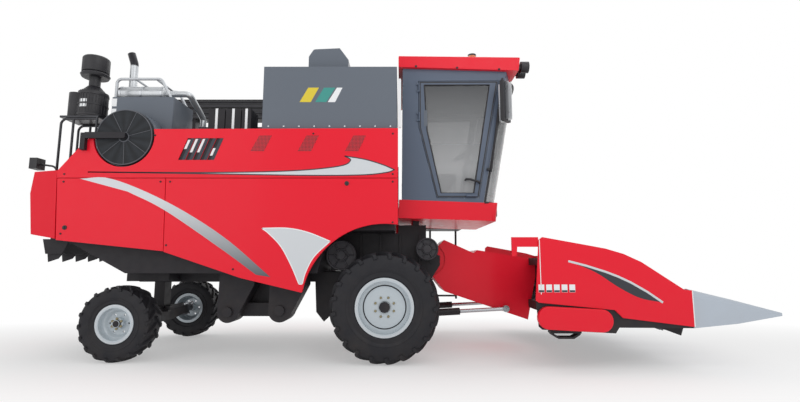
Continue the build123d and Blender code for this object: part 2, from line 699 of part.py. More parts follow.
# Unloading conveyor along the left side, on a turret behind the tank
turret_x = -1530
turret_y = 850
conveyor_low = 3390
conveyor_high = 3720
conveyor_half = 115
conveyor_end = -3430
with BuildPart() as unloading_turret:
    with Locations((turret_x, turret_y, deck_top)):
        Cylinder(125, conveyor_low - running_gap - deck_top, align=(Align.CENTER, Align.CENTER, Align.MIN))
    block((-3060, -3000), (turret_y - 100, turret_y + 100), (deck_top, conveyor_low - running_gap))
unloading_turret.part.label = "unloading_turret"
export_step(unloading_turret.part, "parts/unloading_turret.step")

with BuildPart() as unloading_conveyor:
    with Locations((turret_x, turret_y, conveyor_low)):
        Cylinder(135, conveyor_high - conveyor_low, align=(Align.CENTER, Align.CENTER, Align.MIN))
    block((conveyor_end, turret_x), (turret_y - conveyor_half + 15, turret_y + conveyor_half - 15),
          (conveyor_low, conveyor_high - 12))
    for rib in range(4):
        rib_z = conveyor_low + 30 + 90 * rib
        block((conveyor_end, turret_x), (turret_y - conveyor_half, turret_y + conveyor_half),
              (rib_z - 22, rib_z + 22))
    block((conveyor_end + 30, conveyor_end + 300), (turret_y - 80, turret_y + 80),
          (conveyor_low - 1, conveyor_low + 220), mode=Mode.SUBTRACT)
unloading_conveyor.part.label = "unloading_conveyor"
export_step(unloading_conveyor.part, "parts/unloading_conveyor.step")


def base_top(x):
    """Height of the cab base's upper face."""
    if x > base_nose_x:
        return screen_foot_z
    return base_rear_z + (screen_foot_z - base_rear_z) * (x - base_rear_x) / (base_nose_x - base_rear_x)


def roof_bottom(x):
    """Height of the roof's lower edge, which drops towards the front."""
    return roof_rear_z - roof_drop * (x - roof_rear_x)


def windscreen_plan(level, thickness):
    """Curved plan outline of the windscreen at a height, as a sketch."""
    foot = pillar_foot_x + pillar_lean * (level - screen_foot_z)
    nose = foot + windscreen_bulge
    half = cab_half
    with BuildSketch(Plane.XY.offset(level)) as plan:
        with BuildLine():
            ThreePointArc((foot, -half), (nose, 0), (foot, half))
            Line((foot, half), (foot - thickness, half))
            ThreePointArc((foot - thickness, half), (nose - thickness, 0), (foot - thickness, -half))
            Line((foot - thickness, -half), (foot, -half))
        make_face()
    return plan.sketch


lean_direction = Vector(pillar_lean, 0, 1)
pillar_head_x = pillar_foot_x + pillar_lean * (3540 - screen_foot_z)

lamp_offset = 640
lamp_seat_x = 1420

# Cab base with recesses in its nose for the head lamps
with BuildPart() as cab_base:
    side_plate(
        [(242, cab_floor(242)), (base_rear_x, base_rear_z), (base_nose_x, screen_foot_z),
         (1470, screen_foot_z), (1445, cab_floor(1445))],
        -cab_half, cab_half,
    )
    nose_edges = cab_base.edges().filter_by(lambda edge: edge.center().X > 1440)
    fillet(nose_edges.filter_by(lambda edge: abs(edge.center().Y) > cab_half - 1), radius=60)
    for lamp_y in (-lamp_offset, lamp_offset):
        block((lamp_seat_x, 1480), (lamp_y - 85, lamp_y + 85), (1690, 1770), mode=Mode.SUBTRACT)
cab_base.part.label = "cab_base"
export_step(cab_base.part, "parts/cab_base.step")

# Cab shell: rear wall, side walls with door openings, pillars and the visor over the glass
door_rear_x = door_hinge_x
door_outline = [
    (door_rear_x, 3401), (door_rear_x, 2806), (718, 1915), (1232, 1915), (1508, 3407)
]
opening_outline = [
    (door_rear_x - 7, 3408), (door_rear_x - 7, 2803), (714, 1908), (1238, 1908), (1516, 3414)
]
glass_outline = [(568, 3354), (600, 2760), (768, 1971), (1174, 1971), (1400, 3360)]
with BuildPart() as cab_shell:
    side_plate(
        [(cab_rear_x, base_top(cab_rear_x)), (300, roof_bottom(300)),
         (pillar_head_x - windscreen_thickness, 3540), (pillar_foot_x - windscreen_thickness, screen_foot_z),
         (base_nose_x, screen_foot_z)],
        -cab_half, cab_half,
    )
    side_plate(
        [(cab_rear_x + cab_wall, 1800), (345, 3480), (1900, 3480), (1900, 1800)],
        cab_wall - cab_half, cab_half - cab_wall, mode=Mode.SUBTRACT,
    )
    side_plate(opening_outline, -cab_half - 1, cab_half + 1, mode=Mode.SUBTRACT)
    for sign in (-1, 1):
        leaf_low, leaf_high = sorted((sign * (cab_half - 1), sign * (door_hinge_y + 6)))
        for hinge_z in door_hinges:
            for low in (hinge_z - running_gap - 20, hinge_z + hinge_length + running_gap):
                block((door_hinge_x - 30, door_hinge_x - 8), (leaf_low, leaf_high), (low, low + 20))
                with Locations((door_hinge_x, sign * door_hinge_y, low)):
                    Cylinder(11.5, 20, align=(Align.CENTER, Align.CENTER, Align.MIN))
    extrude(windscreen_plan(screen_head_z, 60), amount=260, dir=lean_direction)
    side_plate(
        [(200, roof_bottom(200)), (1950, roof_bottom(1950)), (1950, 3800), (200, 3800)],
        -900, 900, mode=Mode.SUBTRACT,
    )
cab_shell.part.label = "cab_shell"
export_step(cab_shell.part, "parts/cab_shell.step")

with BuildPart() as windscreen:
    slant = (screen_head_z - screen_foot_z) * lean_direction.length
    extrude(windscreen_plan(screen_foot_z, windscreen_thickness), amount=slant, dir=lean_direction)
windscreen.part.label = "windscreen"
export_step(windscreen.part, "parts/windscreen.step")

roof_half = 850
with BuildPart() as cab_roof:
    side_plate(
        [(roof_rear_x, roof_bottom(roof_rear_x)), (roof_rear_x, 3725), (roof_front_x, 3707),
         (roof_front_x - 24, roof_bottom(roof_front_x - 24))],
        -roof_half, roof_half,
    )
    fillet(cab_roof.edges().filter_by(lambda edge: edge.center().Z > 3700), radius=22)
cab_roof.part.label = "cab_roof"
export_step(cab_roof.part, "parts/cab_roof.step")

# Doors: framed glass hinged on their upright rear edge
for side, sign in (("right", -1), ("left", 1)):
    outer_low, outer_high = sorted((sign * cab_half, sign * (cab_half - door_thickness)))
    glass_low, glass_high = sorted((sign * (cab_half - 12), sign * (cab_half - 20)))
    with BuildPart() as cab_door:
        side_plate(door_outline, outer_low, outer_high)
        side_plate(glass_outline, outer_low - 1, outer_high + 1, mode=Mode.SUBTRACT)
        for hinge_z in door_hinges:
            rod((door_hinge_x, sign * door_hinge_y, hinge_z),
                (door_hinge_x, sign * door_hinge_y, hinge_z + hinge_length), 11.5)
        grip_low, grip_high = sorted((sign * cab_half, sign * (cab_half + 45)))
        block((1075, 1095), (grip_low, grip_high), (1925, 1945))
        block((1190, 1210), (grip_low, grip_high), (1925, 1945))
        near, far = sorted((sign * (cab_half + 25), sign * (cab_half + 45)))
        block((1075, 1210), (near, far), (1925, 1945))
    cab_door.part.label = f"cab_door_{side}"
    export_step(cab_door.part, f"parts/cab_door_{side}.step")
    with BuildPart() as door_glass:
        side_plate(glass_outline, glass_low, glass_high)
    door_glass.part.label = f"door_glass_{side}"
    export_step(door_glass.part, f"parts/door_glass_{side}.step")

# Seat and steering console
with BuildPart() as seat:
    block((620, 1060), (-230, 230), (2230, 2330))
    side_plate([(560, 2330), (660, 2330), (600, 2860), (500, 2860)], -215, 215)
    side_plate(
        [(700, base_top(700) + seat_gap), (980, base_top(980) + seat_gap), (980, 2230), (700, 2230)], -150, 150
    )
seat.part.label = "seat"
export_step(seat.part, "parts/seat.step")

with BuildPart() as steering_console:
    side_plate(
        [(1180, base_top(1180) + seat_gap), (1300, screen_foot_z + seat_gap), (1330, 2500), (1270, 2500)],
        -110, 110,
    )
    rod((1290, 0, 2480), (1197, 0, 2646), 22)
    with Locations(Plane(origin=(1196, 0, 2648), z_dir=(-0.49, 0, 0.87))):
        Cylinder(200, 24)
        Cylinder(172, 24, mode=Mode.SUBTRACT)
        Cylinder(40, 24)
        with PolarLocations(105, 3):
            Box(150, 26, 12)
steering_console.part.label = "steering_console"
export_step(steering_console.part, "parts/steering_console.step")

# Lamps: roof lamps, head lamps in the cab base, rear lamp on its bracket, beacon
with BuildPart() as lamps:
    for lamp_y in (-770, -590, 590, 770):
        rod((roof_front_x + 20, lamp_y, 3600), (roof_front_x + 120, lamp_y, 3600), 72)
        block((roof_front_x - 9.8, roof_front_x + 30), (lamp_y - 30, lamp_y + 30), (3570, 3630))
    with Locations((1215, -600, 3715)):
        Cylinder(55, 130, align=(Align.CENTER, Align.CENTER, Align.MIN))
    bent_tube([(-3970, -800, hood_top(-3970) + 1.3), (-3990, -800, 2300), (-4200, -800, 2330)], 12, 80)
    block((-half_length, -4185), (-870, -730), (2265, 2400))
    for lamp_y in (-lamp_offset, lamp_offset):
        block((lamp_seat_x, 1466), (lamp_y - 85, lamp_y + 85), (1690, 1770))
lamps.part.label = "lamps"
export_step(lamps.part, "parts/lamps.step")

# Mirrors and grab rails beside the pillars
with BuildPart() as mirrors:
    for sign in (-1, 1):
        rod((1552, sign * 856, 3420), (1378, sign * 856, 2224), 14)
        near, far = sorted((sign * (cab_half + 0.3), sign * 856))
        block((1530, 1560), (near, far), (3370, 3400))
        block((1335, 1390), (near, far), (2250, 2275))
        with Locations(Location((1560, sign * 930, 3090), (0, 0, sign * 40))):
            Box(46, 180, 500)
        near, far = sorted((sign * 850, sign * 930))
        block((1515, 1555), (near, far), (3200, 3230))
mirrors.part.label = "mirrors"
export_step(mirrors.part, "parts/mirrors.step")

# Access platform and ladder on the left side, ahead of the wheel
with BuildPart() as access_ladder:
    block((300, 1240), (cab_half, 1400), (1640, 1668))
    for stile_x, stile_top in ((770, 1668), (1200, 2500)):
        bent_tube([(stile_x, 1385, stile_top), (stile_x, 1385, 1600), (stile_x, 1460, 520)], 17, 60)
    for step in range(4):
        step_z = 560 + 270 * step
        step_y = 1385 + 75 * (1600 - step_z) / 1080
        block((770, 1200), (step_y - 90, step_y + 10), (step_z, step_z + 24))
    bent_tube([(310, 1385, 1660), (310, 1385, 2500), (520, 1385, 2500), (520, 1385, 1660)], 17, 60)
access_ladder.part.label = "access_ladder"
export_step(access_ladder.part, "parts/access_ladder.step")

# Feeder house: inner case round the pivot, side plates with a round notch, front adapter
with BuildPart() as feeder_house:
    feeder_top = [(837, 1414), (1214, 1246), (1262, 1283), (feeder_front_x, 1163)]
    side_plate(
        [(feeder_pivot_x + 40, 1300)] + feeder_top
        + [(feeder_front_x, 942), (1892, 403), (835, 756), (676, 956)],
        20 - feeder_half, feeder_half - 20,
    )
    drum(feeder_pivot_x, feeder_pivot_z, 150, 20 - feeder_half, feeder_half - 20)
    for sign in (-1, 1):
        near, far = sorted((sign * (feeder_half - 20), sign * feeder_half))
        with BuildSketch(Plane.XZ.offset(-far)) as cheek:
            with BuildLine():
                Polyline(
                    (766, 1330), *feeder_top, (feeder_front_x, 942), (1892, 403), (835, 756), (676, 956)
                )
                ThreePointArc((676, 956), (845, 1148), (766, 1330))
            make_face()
        extrude(cheek.sketch, amount=20)
    drum(feeder_pivot_x, feeder_pivot_z, pivot_pin_radius + pin_clearance, -500, 500, mode=Mode.SUBTRACT)
    side_plate([(1700, 900), (2020, 800), (2020, 420), (1890, 470), (1700, 530)], -360, 360, mode=Mode.SUBTRACT)
    for sign in (-1, 1):
        near, far = sorted((sign * feeder_half, sign * (lift_y - lift_eye_half - running_gap)))
        drum(lift_eye_x, lift_eye_z, 38, near, far)
feeder_house.part.label = "feeder_house"
export_step(feeder_house.part, "parts/feeder_house.step")

# Lift cylinders: barrels on the front axle's pins, rods to the feeder's lugs
lift_angle = atan2(lift_eye_z - lift_base_z, lift_eye_x - lift_base_x)
lift_barrel_length = 790
lift_rod_radius = 24
with BuildPart() as lift_barrels:
    for sign in (-1, 1):
        base = Vector(lift_base_x, sign * lift_y, lift_base_z)
        line = Vector(cos(lift_angle), 0, sin(lift_angle))
        rod(base, base + line * lift_barrel_length, 44)
        rod(base + line * 230, base + line * (lift_barrel_length + 1), lift_rod_radius + running_gap,
            mode=Mode.SUBTRACT)
        drum(lift_base_x, lift_base_z, 48, sign * lift_y - 28, sign * lift_y + 28)
        drum(lift_base_x, lift_base_z, 20 + pin_clearance, sign * lift_y - 60, sign * lift_y + 60,
             mode=Mode.SUBTRACT)
lift_barrels.part.label = "lift_barrels"
export_step(lift_barrels.part, "parts/lift_barrels.step")
with BuildPart() as lift_rods:
    for sign in (-1, 1):
        eye = Vector(lift_eye_x, sign * lift_y, lift_eye_z)
        line = Vector(cos(lift_angle), 0, sin(lift_angle))
        rod(eye - line * 880, eye, lift_rod_radius)
        drum(lift_eye_x, lift_eye_z, 42, sign * lift_y - lift_eye_half, sign * lift_y + lift_eye_half)
        near, far = sorted((sign * lift_y, sign * (lift_y + lift_eye_half + 12)))
        drum(lift_eye_x, lift_eye_z, 22, near, far)
lift_rods.part.label = "lift_rods"
export_step(lift_rods.part, "parts/lift_rods.step")

# Slope of the row units, and the row hoods' lower edge
row_slope = 20
row_origin_x = 2530
row_origin_z = 770
row_length = 800
chain_offset = 118
gear_box_x = 132
wall_start = 20
hood_rear_x = 2560
hood_rear_bottom = 800
hood_front_bottom = 522


def row_plane(y):
    """Plane of a row unit's deck, its x along the slope down to the front."""
    down = radians(row_slope)
    return Plane(
        origin=(row_origin_x, y, row_origin_z), x_dir=(cos(down), 0, -sin(down)), z_dir=(sin(down), 0, cos(down))
    )


def hood_bottom(x):
    """Height of the row hoods' lower edge, which drops towards the front."""
    fall = (hood_rear_bottom - hood_front_bottom) / (divider_front_x - hood_rear_x)
    return hood_rear_bottom - fall * (x - hood_rear_x)


# Header frame: tool bar, back wall with the feeder mouth, trough, end plates and skids
row_offsets = [row_spacing * (row - (row_count - 1) / 2) for row in range(row_count)]
divider_offsets = [row_spacing * (row - row_count / 2) for row in range(1, row_count)]
outer_divider_y = 1450
with BuildPart() as header_frame:
    with BuildSketch(Plane.XZ.offset(-skin_inner)) as trough:
        with Locations((auger_x, auger_z)):
            Circle(trough_radius + sheet)
            Circle(trough_radius, mode=Mode.SUBTRACT)
        with Locations((auger_x, auger_z + 250), (auger_x + 250, auger_z + 100)):
            Rectangle(700, 500, mode=Mode.SUBTRACT)
        with Locations((auger_x - trough_radius - sheet / 2, (auger_z + 1180) / 2)):
            Rectangle(sheet, 1180 - auger_z)
    extrude(trough.sketch, amount=2 * skin_inner)
    block((1990, 2120), (-350, 350), (480, 880), mode=Mode.SUBTRACT)
    for low, high in ((-skin_inner, -feeder_half - 20), (feeder_half + 20, skin_inner)):
        block((1900, auger_x - trough_radius - sheet), (low, high), (560, 660))
        block((1920, auger_x - trough_radius - sheet), (low, high), (1090, 1180))
    block((2240, 2340), (-skin_inner, skin_inner), (440, auger_z - trough_radius - 4))
    for divider_y in divider_offsets:
        side_plate([(2300, 440), (2300, 520), (3260, 480), (3260, 440)], divider_y - 30, divider_y + 30)
        for post_x in (2640, 3190):
            side_plate(
                [(post_x, 478), (post_x, hood_bottom(post_x) - seat_gap),
                 (post_x + 50, hood_bottom(post_x + 50) - seat_gap), (post_x + 50, 478)],
                divider_y - 30, divider_y + 30,
            )
    for row_y in row_offsets:
        rear, front = (row_plane(row_y).from_local_coords((x, 0, -210 - seat_gap)) for x in (22, gear_box_x))
        for foot_y in (row_y - 130, row_y + 130):
            side_plate(
                [(2335, 445), (2335, 534), (rear.X, rear.Z), (front.X, front.Z), (front.X, 480), (2400, 445)],
                foot_y - 12, foot_y + 12,
            )
    for sign in (-1, 1):
        near, far = sorted((sign * (skin_inner - 15), sign * skin_inner))
        side_plate(
            [(1676, 742), (1696, 470), (1730, 440), (2486, 403), (2525, 460), (3293, 455), (3293, 560),
             (2700, 720), (2560, 1000), (1960, 1180), (1900, 1180), (1760, 900)],
            near, far,
        )
        near, far = sorted((sign * (skin_inner - 115), sign * (skin_inner - 15)))
        block((1821, 2139), (near, far), (400, 425))
        side_plate(
            [(1821, 425), (1835, 385), (1900, 345), (2060, 345), (2125, 385), (2139, 425),
             (2110, 425), (2105, 395), (2050, 365), (1910, 365), (1855, 395), (1850, 425)],
            near, far,
        )
header_frame.part.label = "header_frame"
export_step(header_frame.part, "parts/header_frame.step")

# Cross auger: tube with tilted flights that lead to the middle
auger_tube = 90
auger_half = 1500
with BuildPart() as header_auger:
    drum(auger_x, auger_z, auger_tube, -auger_half, auger_half)
    drum(auger_x, auger_z, 28, -skin_inner + 15 + running_gap, skin_inner - 15 - running_gap)
    for sign in (-1, 1):
        for flight in range(6):
            flight_y = sign * (330 + 210 * flight)
            tilt = Plane(origin=(auger_x, flight_y, auger_z), z_dir=(sign * 0.30, -1, 0))
            with Locations(tilt):
                Cylinder(auger_radius - 12, 8)
header_auger.part.label = "header_auger"
export_step(header_auger.part, "parts/header_auger.step")

# Row units on their slope: deck plates, gathering chains with lugs, and snapping rolls
with BuildPart() as row_decks:
    for row_y in row_offsets:
        deck = row_plane(row_y)
        for sign in (-1, 1):
            with Locations(deck.offset(-20)):
                with Locations((row_length / 2, sign * 112, 0)):
                    Box(row_length, 180, 8)
            with Locations(deck.offset(-80)):
                with Locations(((row_length + wall_start) / 2, sign * 200, 0)):
                    Box(row_length - wall_start, 16, 128)
        with Locations(deck.offset(-150)):
            with Locations((gear_box_x - 55, 0, 0)):
                Box(110, 416, 120)
row_decks.part.label = "row_decks"
export_step(row_decks.part, "parts/row_decks.step")

roll_knives = 3


def chain_outline(length, width, mode=Mode.ADD):
    """Outline of a chain round its two sprockets, its ends in three facets."""
    reach = length / 2
    half = width / 2
    with BuildSketch(Plane.XY) as outline:
        with BuildLine():
            Polyline(
                (half - reach, -half), (reach - half, -half), (reach, -half / 2), (reach, half / 2),
                (reach - half, half), (half - reach, half), (-reach, half / 2), (-reach, -half / 2), close=True,
            )
        make_face()
    add(outline.sketch, mode=mode)


with BuildPart() as row_units:
    for row_y in row_offsets:
        deck = row_plane(row_y)
        for sign in (-1, 1):
            with BuildSketch(deck.offset(-16)) as loop:
                with Locations((row_length / 2, sign * chain_offset)):
                    chain_outline(row_length - 40, 96)
                    chain_outline(row_length - 80, 56, mode=Mode.SUBTRACT)
            extrude(loop.sketch, amount=18)
            with Locations(deck.offset(-3)):
                for lug in range(5):
                    with Locations((120 + 140 * lug, sign * (chain_offset - 62), 0)):
                        Box(16, 44, 26)
        for sign in (-1, 1):
            foot = deck.from_local_coords((gear_box_x, sign * 47, -110))
            roll = Plane(origin=foot, z_dir=deck.x_dir)
            with Locations(roll):
                Cylinder(30, 560, align=(Align.CENTER, Align.CENTER, Align.MIN))
            for turn in range(roll_knives):
                with BuildSketch(roll) as knives:
                    Rectangle(84, 12, rotation=180 / roll_knives * turn)
                extrude(knives.sketch, amount=560)
            with Locations(roll.offset(560)):
                Cone(30, 10, 140, align=(Align.CENTER, Align.CENTER, Align.MIN))
row_units.part.label = "row_units"
export_step(row_units.part, "parts/row_units.step")


def divider_section(x, y, width, low, high):
    """Upright section of a divider across the machine, its rounded top in equal facets."""
    shoulder = width * 0.4
    facets = 6
    top = [
        (width / 2 * cos(pi * step / facets), high - shoulder + shoulder * sin(pi * step / facets))
        for step in range(facets + 1)
    ]
    with BuildSketch(Plane(origin=(x, y, 0), x_dir=(0, 1, 0), z_dir=(1, 0, 0))) as section:
        with BuildLine():
            Polyline((-width / 2, low), (width / 2, low), *top, close=True)
        make_face()
    return section.sketch


# Row hoods between the rows, and snouts ahead of every divider
divider_width = 190
with BuildPart() as row_hoods:
    for divider_y in divider_offsets:
        loft([
            divider_section(hood_rear_x, divider_y, divider_width, hood_rear_bottom, 1120),
            divider_section(divider_front_x, divider_y, divider_width, hood_front_bottom, 852),
        ], ruled=True)
row_hoods.part.label = "row_hoods"
export_step(row_hoods.part, "parts/row_hoods.step")

with BuildPart() as snouts:
    for divider_y in divider_offsets + [-outer_divider_y, outer_divider_y]:
        loft([
            divider_section(divider_front_x, divider_y, divider_width, 455, 852),
            divider_section(divider_front_x + 480, divider_y, divider_width * 0.62, 495, 735),
            divider_section(half_length, divider_y, 26, 570, 602),
        ], ruled=True)
snouts.part.label = "snouts"
export_step(snouts.part, "parts/snouts.step")

# Side fairings with pill-shaped chain covers and the auger drive guard on the right
fairing_outline = [
    (1722, 1365), (1760, 1392), (2271, 1299), (2420, 1271), (2604, 1216), (2785, 1132), (3210, 848),
    (divider_front_x, 839), (divider_front_x, 470), (2560, 560), (2480, 640), (1700, 715), (1669, 738),
]
divider_outline = [
    (2560, 1228), (2604, 1216), (2785, 1132), (3210, 848), (divider_front_x, 839),
    (divider_front_x, 575), (2720, 735), (2570, 1010),
]
with BuildPart() as side_fairings:
    for sign in (-1, 1):
        near, far = sorted((sign * skin_inner, sign * skin_outer))
        side_plate(fairing_outline, near, far)
        near, far = sorted((sign * (outer_divider_y - divider_width / 2), sign * skin_inner))
        side_plate(divider_outline, near, far)
    block((1440, 1722), (-skin_inner, -skin_inner + 20), (1290, 1392))
    side_plate([(1440, 1194), (1440, 1360), (1475, 1392), (1700, 1380), (1700, 1330), (1500, 1300),
                (1490, 1194)], -skin_inner, -skin_inner + 20)
    for sign in (-1, 1):
        near, far = sorted((sign * skin_inner, sign * header_half))
        with BuildSketch(Plane.XZ.offset(-far)) as pill:
            with Locations(Location((2062, 548, 0), (0, 0, -3))):
                SlotOverall(770, 232)
        extrude(pill.sketch, amount=far - near)
    fillet(side_fairings.faces().filter_by(Axis.Y).sort_by(Axis.Y)[0].edges(), radius=14)
    fillet(side_fairings.faces().filter_by(Axis.Y).sort_by(Axis.Y)[-1].edges(), radius=14)
side_fairings.part.label = "side_fairings"
export_step(side_fairings.part, "parts/side_fairings.step")
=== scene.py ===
"""Corn harvester: finishes, fine pieces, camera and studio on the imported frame."""

import logging
from dataclasses import dataclass
from enum import Enum
from math import cos, pi, radians, sin
from typing import Any, Sequence

import bmesh
import bpy
from mathutils import Matrix, Vector


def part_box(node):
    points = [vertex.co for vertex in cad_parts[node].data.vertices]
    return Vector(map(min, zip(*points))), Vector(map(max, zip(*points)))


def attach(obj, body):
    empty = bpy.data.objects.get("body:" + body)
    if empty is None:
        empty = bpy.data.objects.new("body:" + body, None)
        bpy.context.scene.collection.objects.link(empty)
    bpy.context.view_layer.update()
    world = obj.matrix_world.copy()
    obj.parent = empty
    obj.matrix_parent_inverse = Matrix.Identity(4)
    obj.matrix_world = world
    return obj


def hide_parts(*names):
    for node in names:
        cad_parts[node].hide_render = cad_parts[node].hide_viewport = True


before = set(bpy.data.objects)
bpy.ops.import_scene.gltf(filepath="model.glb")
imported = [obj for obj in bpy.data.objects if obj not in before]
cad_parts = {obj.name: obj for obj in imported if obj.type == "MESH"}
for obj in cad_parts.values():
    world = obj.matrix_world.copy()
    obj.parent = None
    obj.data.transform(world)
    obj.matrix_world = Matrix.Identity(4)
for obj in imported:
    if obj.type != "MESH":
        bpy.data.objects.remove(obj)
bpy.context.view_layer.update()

log = logging.getLogger("harvester")

Colour = tuple[float, float, float, float]
Flat = Sequence[tuple[float, float]]
Point = tuple[float, float, float]

# Sign of Y and word of each side.
SIDES = ((-1, "right"), (1, "left"))
# Points that a flowing outline gets from each given one to the next.
FLOW_STEPS = 6


def colour(code: str) -> Colour:
    """Linear colour of a written one.

    Args:
        code: Six hex digits, red first.

    Returns:
        Linear red, green, blue and an alpha of 1.
    """
    parts = [int(code[at:at + 2], 16) / 255 for at in (0, 2, 4)]
    linear = [part / 12.92 if part <= 0.04045 else ((part + 0.055) / 1.055) ** 2.4 for part in parts]
    return (linear[0], linear[1], linear[2], 1.0)


class Grain(Enum):
    """What the fine texture of a surface is made of."""

    PEEL = "sprayed paint"
    BRUSHED = "drawn metal"
    CAST = "cast or moulded skin"
    RUBBER = "tyre rubber"
    WEAVE = "woven cloth"
    HOLES = "punched sheet"
    RIBS = "ribbed cover"
    RAYS = "screen folded in rays"
    CLEAR = "glass"


@dataclass(frozen=True)
class Finish:
    """One kind of surface, with the colours and the roughness written as they are seen."""

    name: str
    code: str
    grain: Grain = Grain.PEEL
    roughness: float = 0.4
    metallic: float = 0.0
    coat: float = 0.0
    mottle: float = 0.05
    relief: float = 0.04
    scale: float = 60.0
    dust: float = 0.0
    alpha: float = 1.0
    lower_code: str = ""
    span: tuple[float, float] = (0.0, 1.0)
    centre: tuple[float, float] = (0.0, 0.0)
    glow: float = 0.0
    specular: float = 0.5
    fade_axis: str = "Z"


class Wire:
    """An output socket of a material's node tree, which takes part in plain arithmetic."""

    def __init__(self, graph: "Graph", socket: Any) -> None:
        """Keeps the socket and the tree that it belongs to."""
        self.graph = graph
        self.socket = socket

    def maths(self, operation: str, first: Any, second: Any = 0.0) -> "Wire":
        """Math node on two wires or numbers."""
        return self.graph.node("ShaderNodeMath", {"operation": operation}, {0: first, 1: second})

    def __add__(self, other: Any) -> "Wire":
        """Sum with a wire or a number."""
        return self.maths("ADD", self, other)

    def __radd__(self, other: Any) -> "Wire":
        """Sum with a number on the left."""
        return self.maths("ADD", other, self)

    def __sub__(self, other: Any) -> "Wire":
        """Difference to a wire or a number."""
        return self.maths("SUBTRACT", self, other)

    def __rsub__(self, other: Any) -> "Wire":
        """Difference from a number on the left."""
        return self.maths("SUBTRACT", other, self)

    def __mul__(self, other: Any) -> "Wire":
        """Product with a wire or a number."""
        return self.maths("MULTIPLY", self, other)

    def __rmul__(self, other: Any) -> "Wire":
        """Product with a number on the left."""
        return self.maths("MULTIPLY", other, self)

    def sine(self) -> "Wire":
        """Sine of the value."""
        return self.graph.node("ShaderNodeMath", {"operation": "SINE"}, {0: self})

    def ramp(self, low: float, high: float, start: float = 0.0, end: float = 1.0) -> "Wire":
        """Value carried from one range into another and held there.

        Args:
            low: Value that becomes the start.
            high: Value that becomes the end.
            start: Result at the low value.
            end: Result at the high value.

        Returns:
            The clamped result.
        """
        return self.graph.node(
            "ShaderNodeMapRange", {"clamp": True}, {0: self, 1: low, 2: high, 3: start, 4: end}
        )


class Graph:
    """Node tree of one material or of the world."""

    def __init__(self, owner: bpy.types.Material | bpy.types.World) -> None:
        """Empties the node tree of its owner."""
        owner.use_nodes = True
        self.owner = owner
        self.tree = owner.node_tree
        self.tree.nodes.clear()

    def node(
        self, kind: str, settings: dict[str, Any] | None = None, values: dict[Any, Any] | None = None,
        output: Any = 0,
    ) -> Wire:
        """Adds any node.

        Args:
            kind: Blender's type name of the node.
            settings: Properties of the node, set first.
            values: Numbers, colours or wires by socket.
            output: Name or number of the socket that is returned.

        Returns:
            The output as a wire.
        """
        made = self.tree.nodes.new(kind)
        for key, value in (settings or {}).items():
            setattr(made, key, value)
        for key, value in (values or {}).items():
            if isinstance(value, Wire):
                self.tree.links.new(value.socket, made.inputs[key])
            else:
                made.inputs[key].default_value = value
        return Wire(self, made.outputs[output] if made.outputs else None)

    def place(self, stretch: Point = (1.0, 1.0, 1.0)) -> Wire:
        """Position on the harvester in metres, stretched along its axes."""
        spot = self.node("ShaderNodeTexCoord", output="Object")
        return self.node("ShaderNodeVectorMath", {"operation": "MULTIPLY"}, {0: spot, 1: stretch})

    def axis(self, name: str) -> Wire:
        """One coordinate of the position, X, Y or Z."""
        return self.node("ShaderNodeSeparateXYZ", values={0: self.place()}, output=name)

    def noise(self, scale: float, detail: float = 3.0, stretch: Point = (1.0, 1.0, 1.0)) -> Wire:
        """Soft noise between 0 and 1."""
        return self.node(
            "ShaderNodeTexNoise",
            values={"Vector": self.place(stretch), "Scale": scale, "Detail": detail},
        )

    def blend(self, mask: Wire | float, first: Any, second: Any) -> Wire:
        """Colour between two others.

        Args:
            mask: 0 for the first and 1 for the second.
            first: Colour or wire.
            second: Colour or wire.

        Returns:
            The mixed colour.
        """
        return self.node(
            "ShaderNodeMix", {"data_type": "RGBA"}, {"Factor": mask, 6: first, 7: second}, output=2
        )

    def bump(self, height: Wire, strength: float, distance: float = 0.002) -> Wire:
        """Normal bent by a height."""
        return self.node(
            "ShaderNodeBump", values={"Height": height, "Strength": strength, "Distance": distance}
        )

    def end(self, shader: Wire, kind: str = "ShaderNodeOutputMaterial") -> Any:
        """Links the shader to an output node of that kind and returns the owner of the tree."""
        self.node(kind, values={"Surface": shader})
        return self.owner


DEEP_SHADOW = colour("0b0b0e")
DRY_DUST = colour("8d7f6c")
# Height in metres up to which dust thins out, and patches of shade to the metre.
DUST_HEIGHT = 1.1
PATCH_SCALE = 3.1


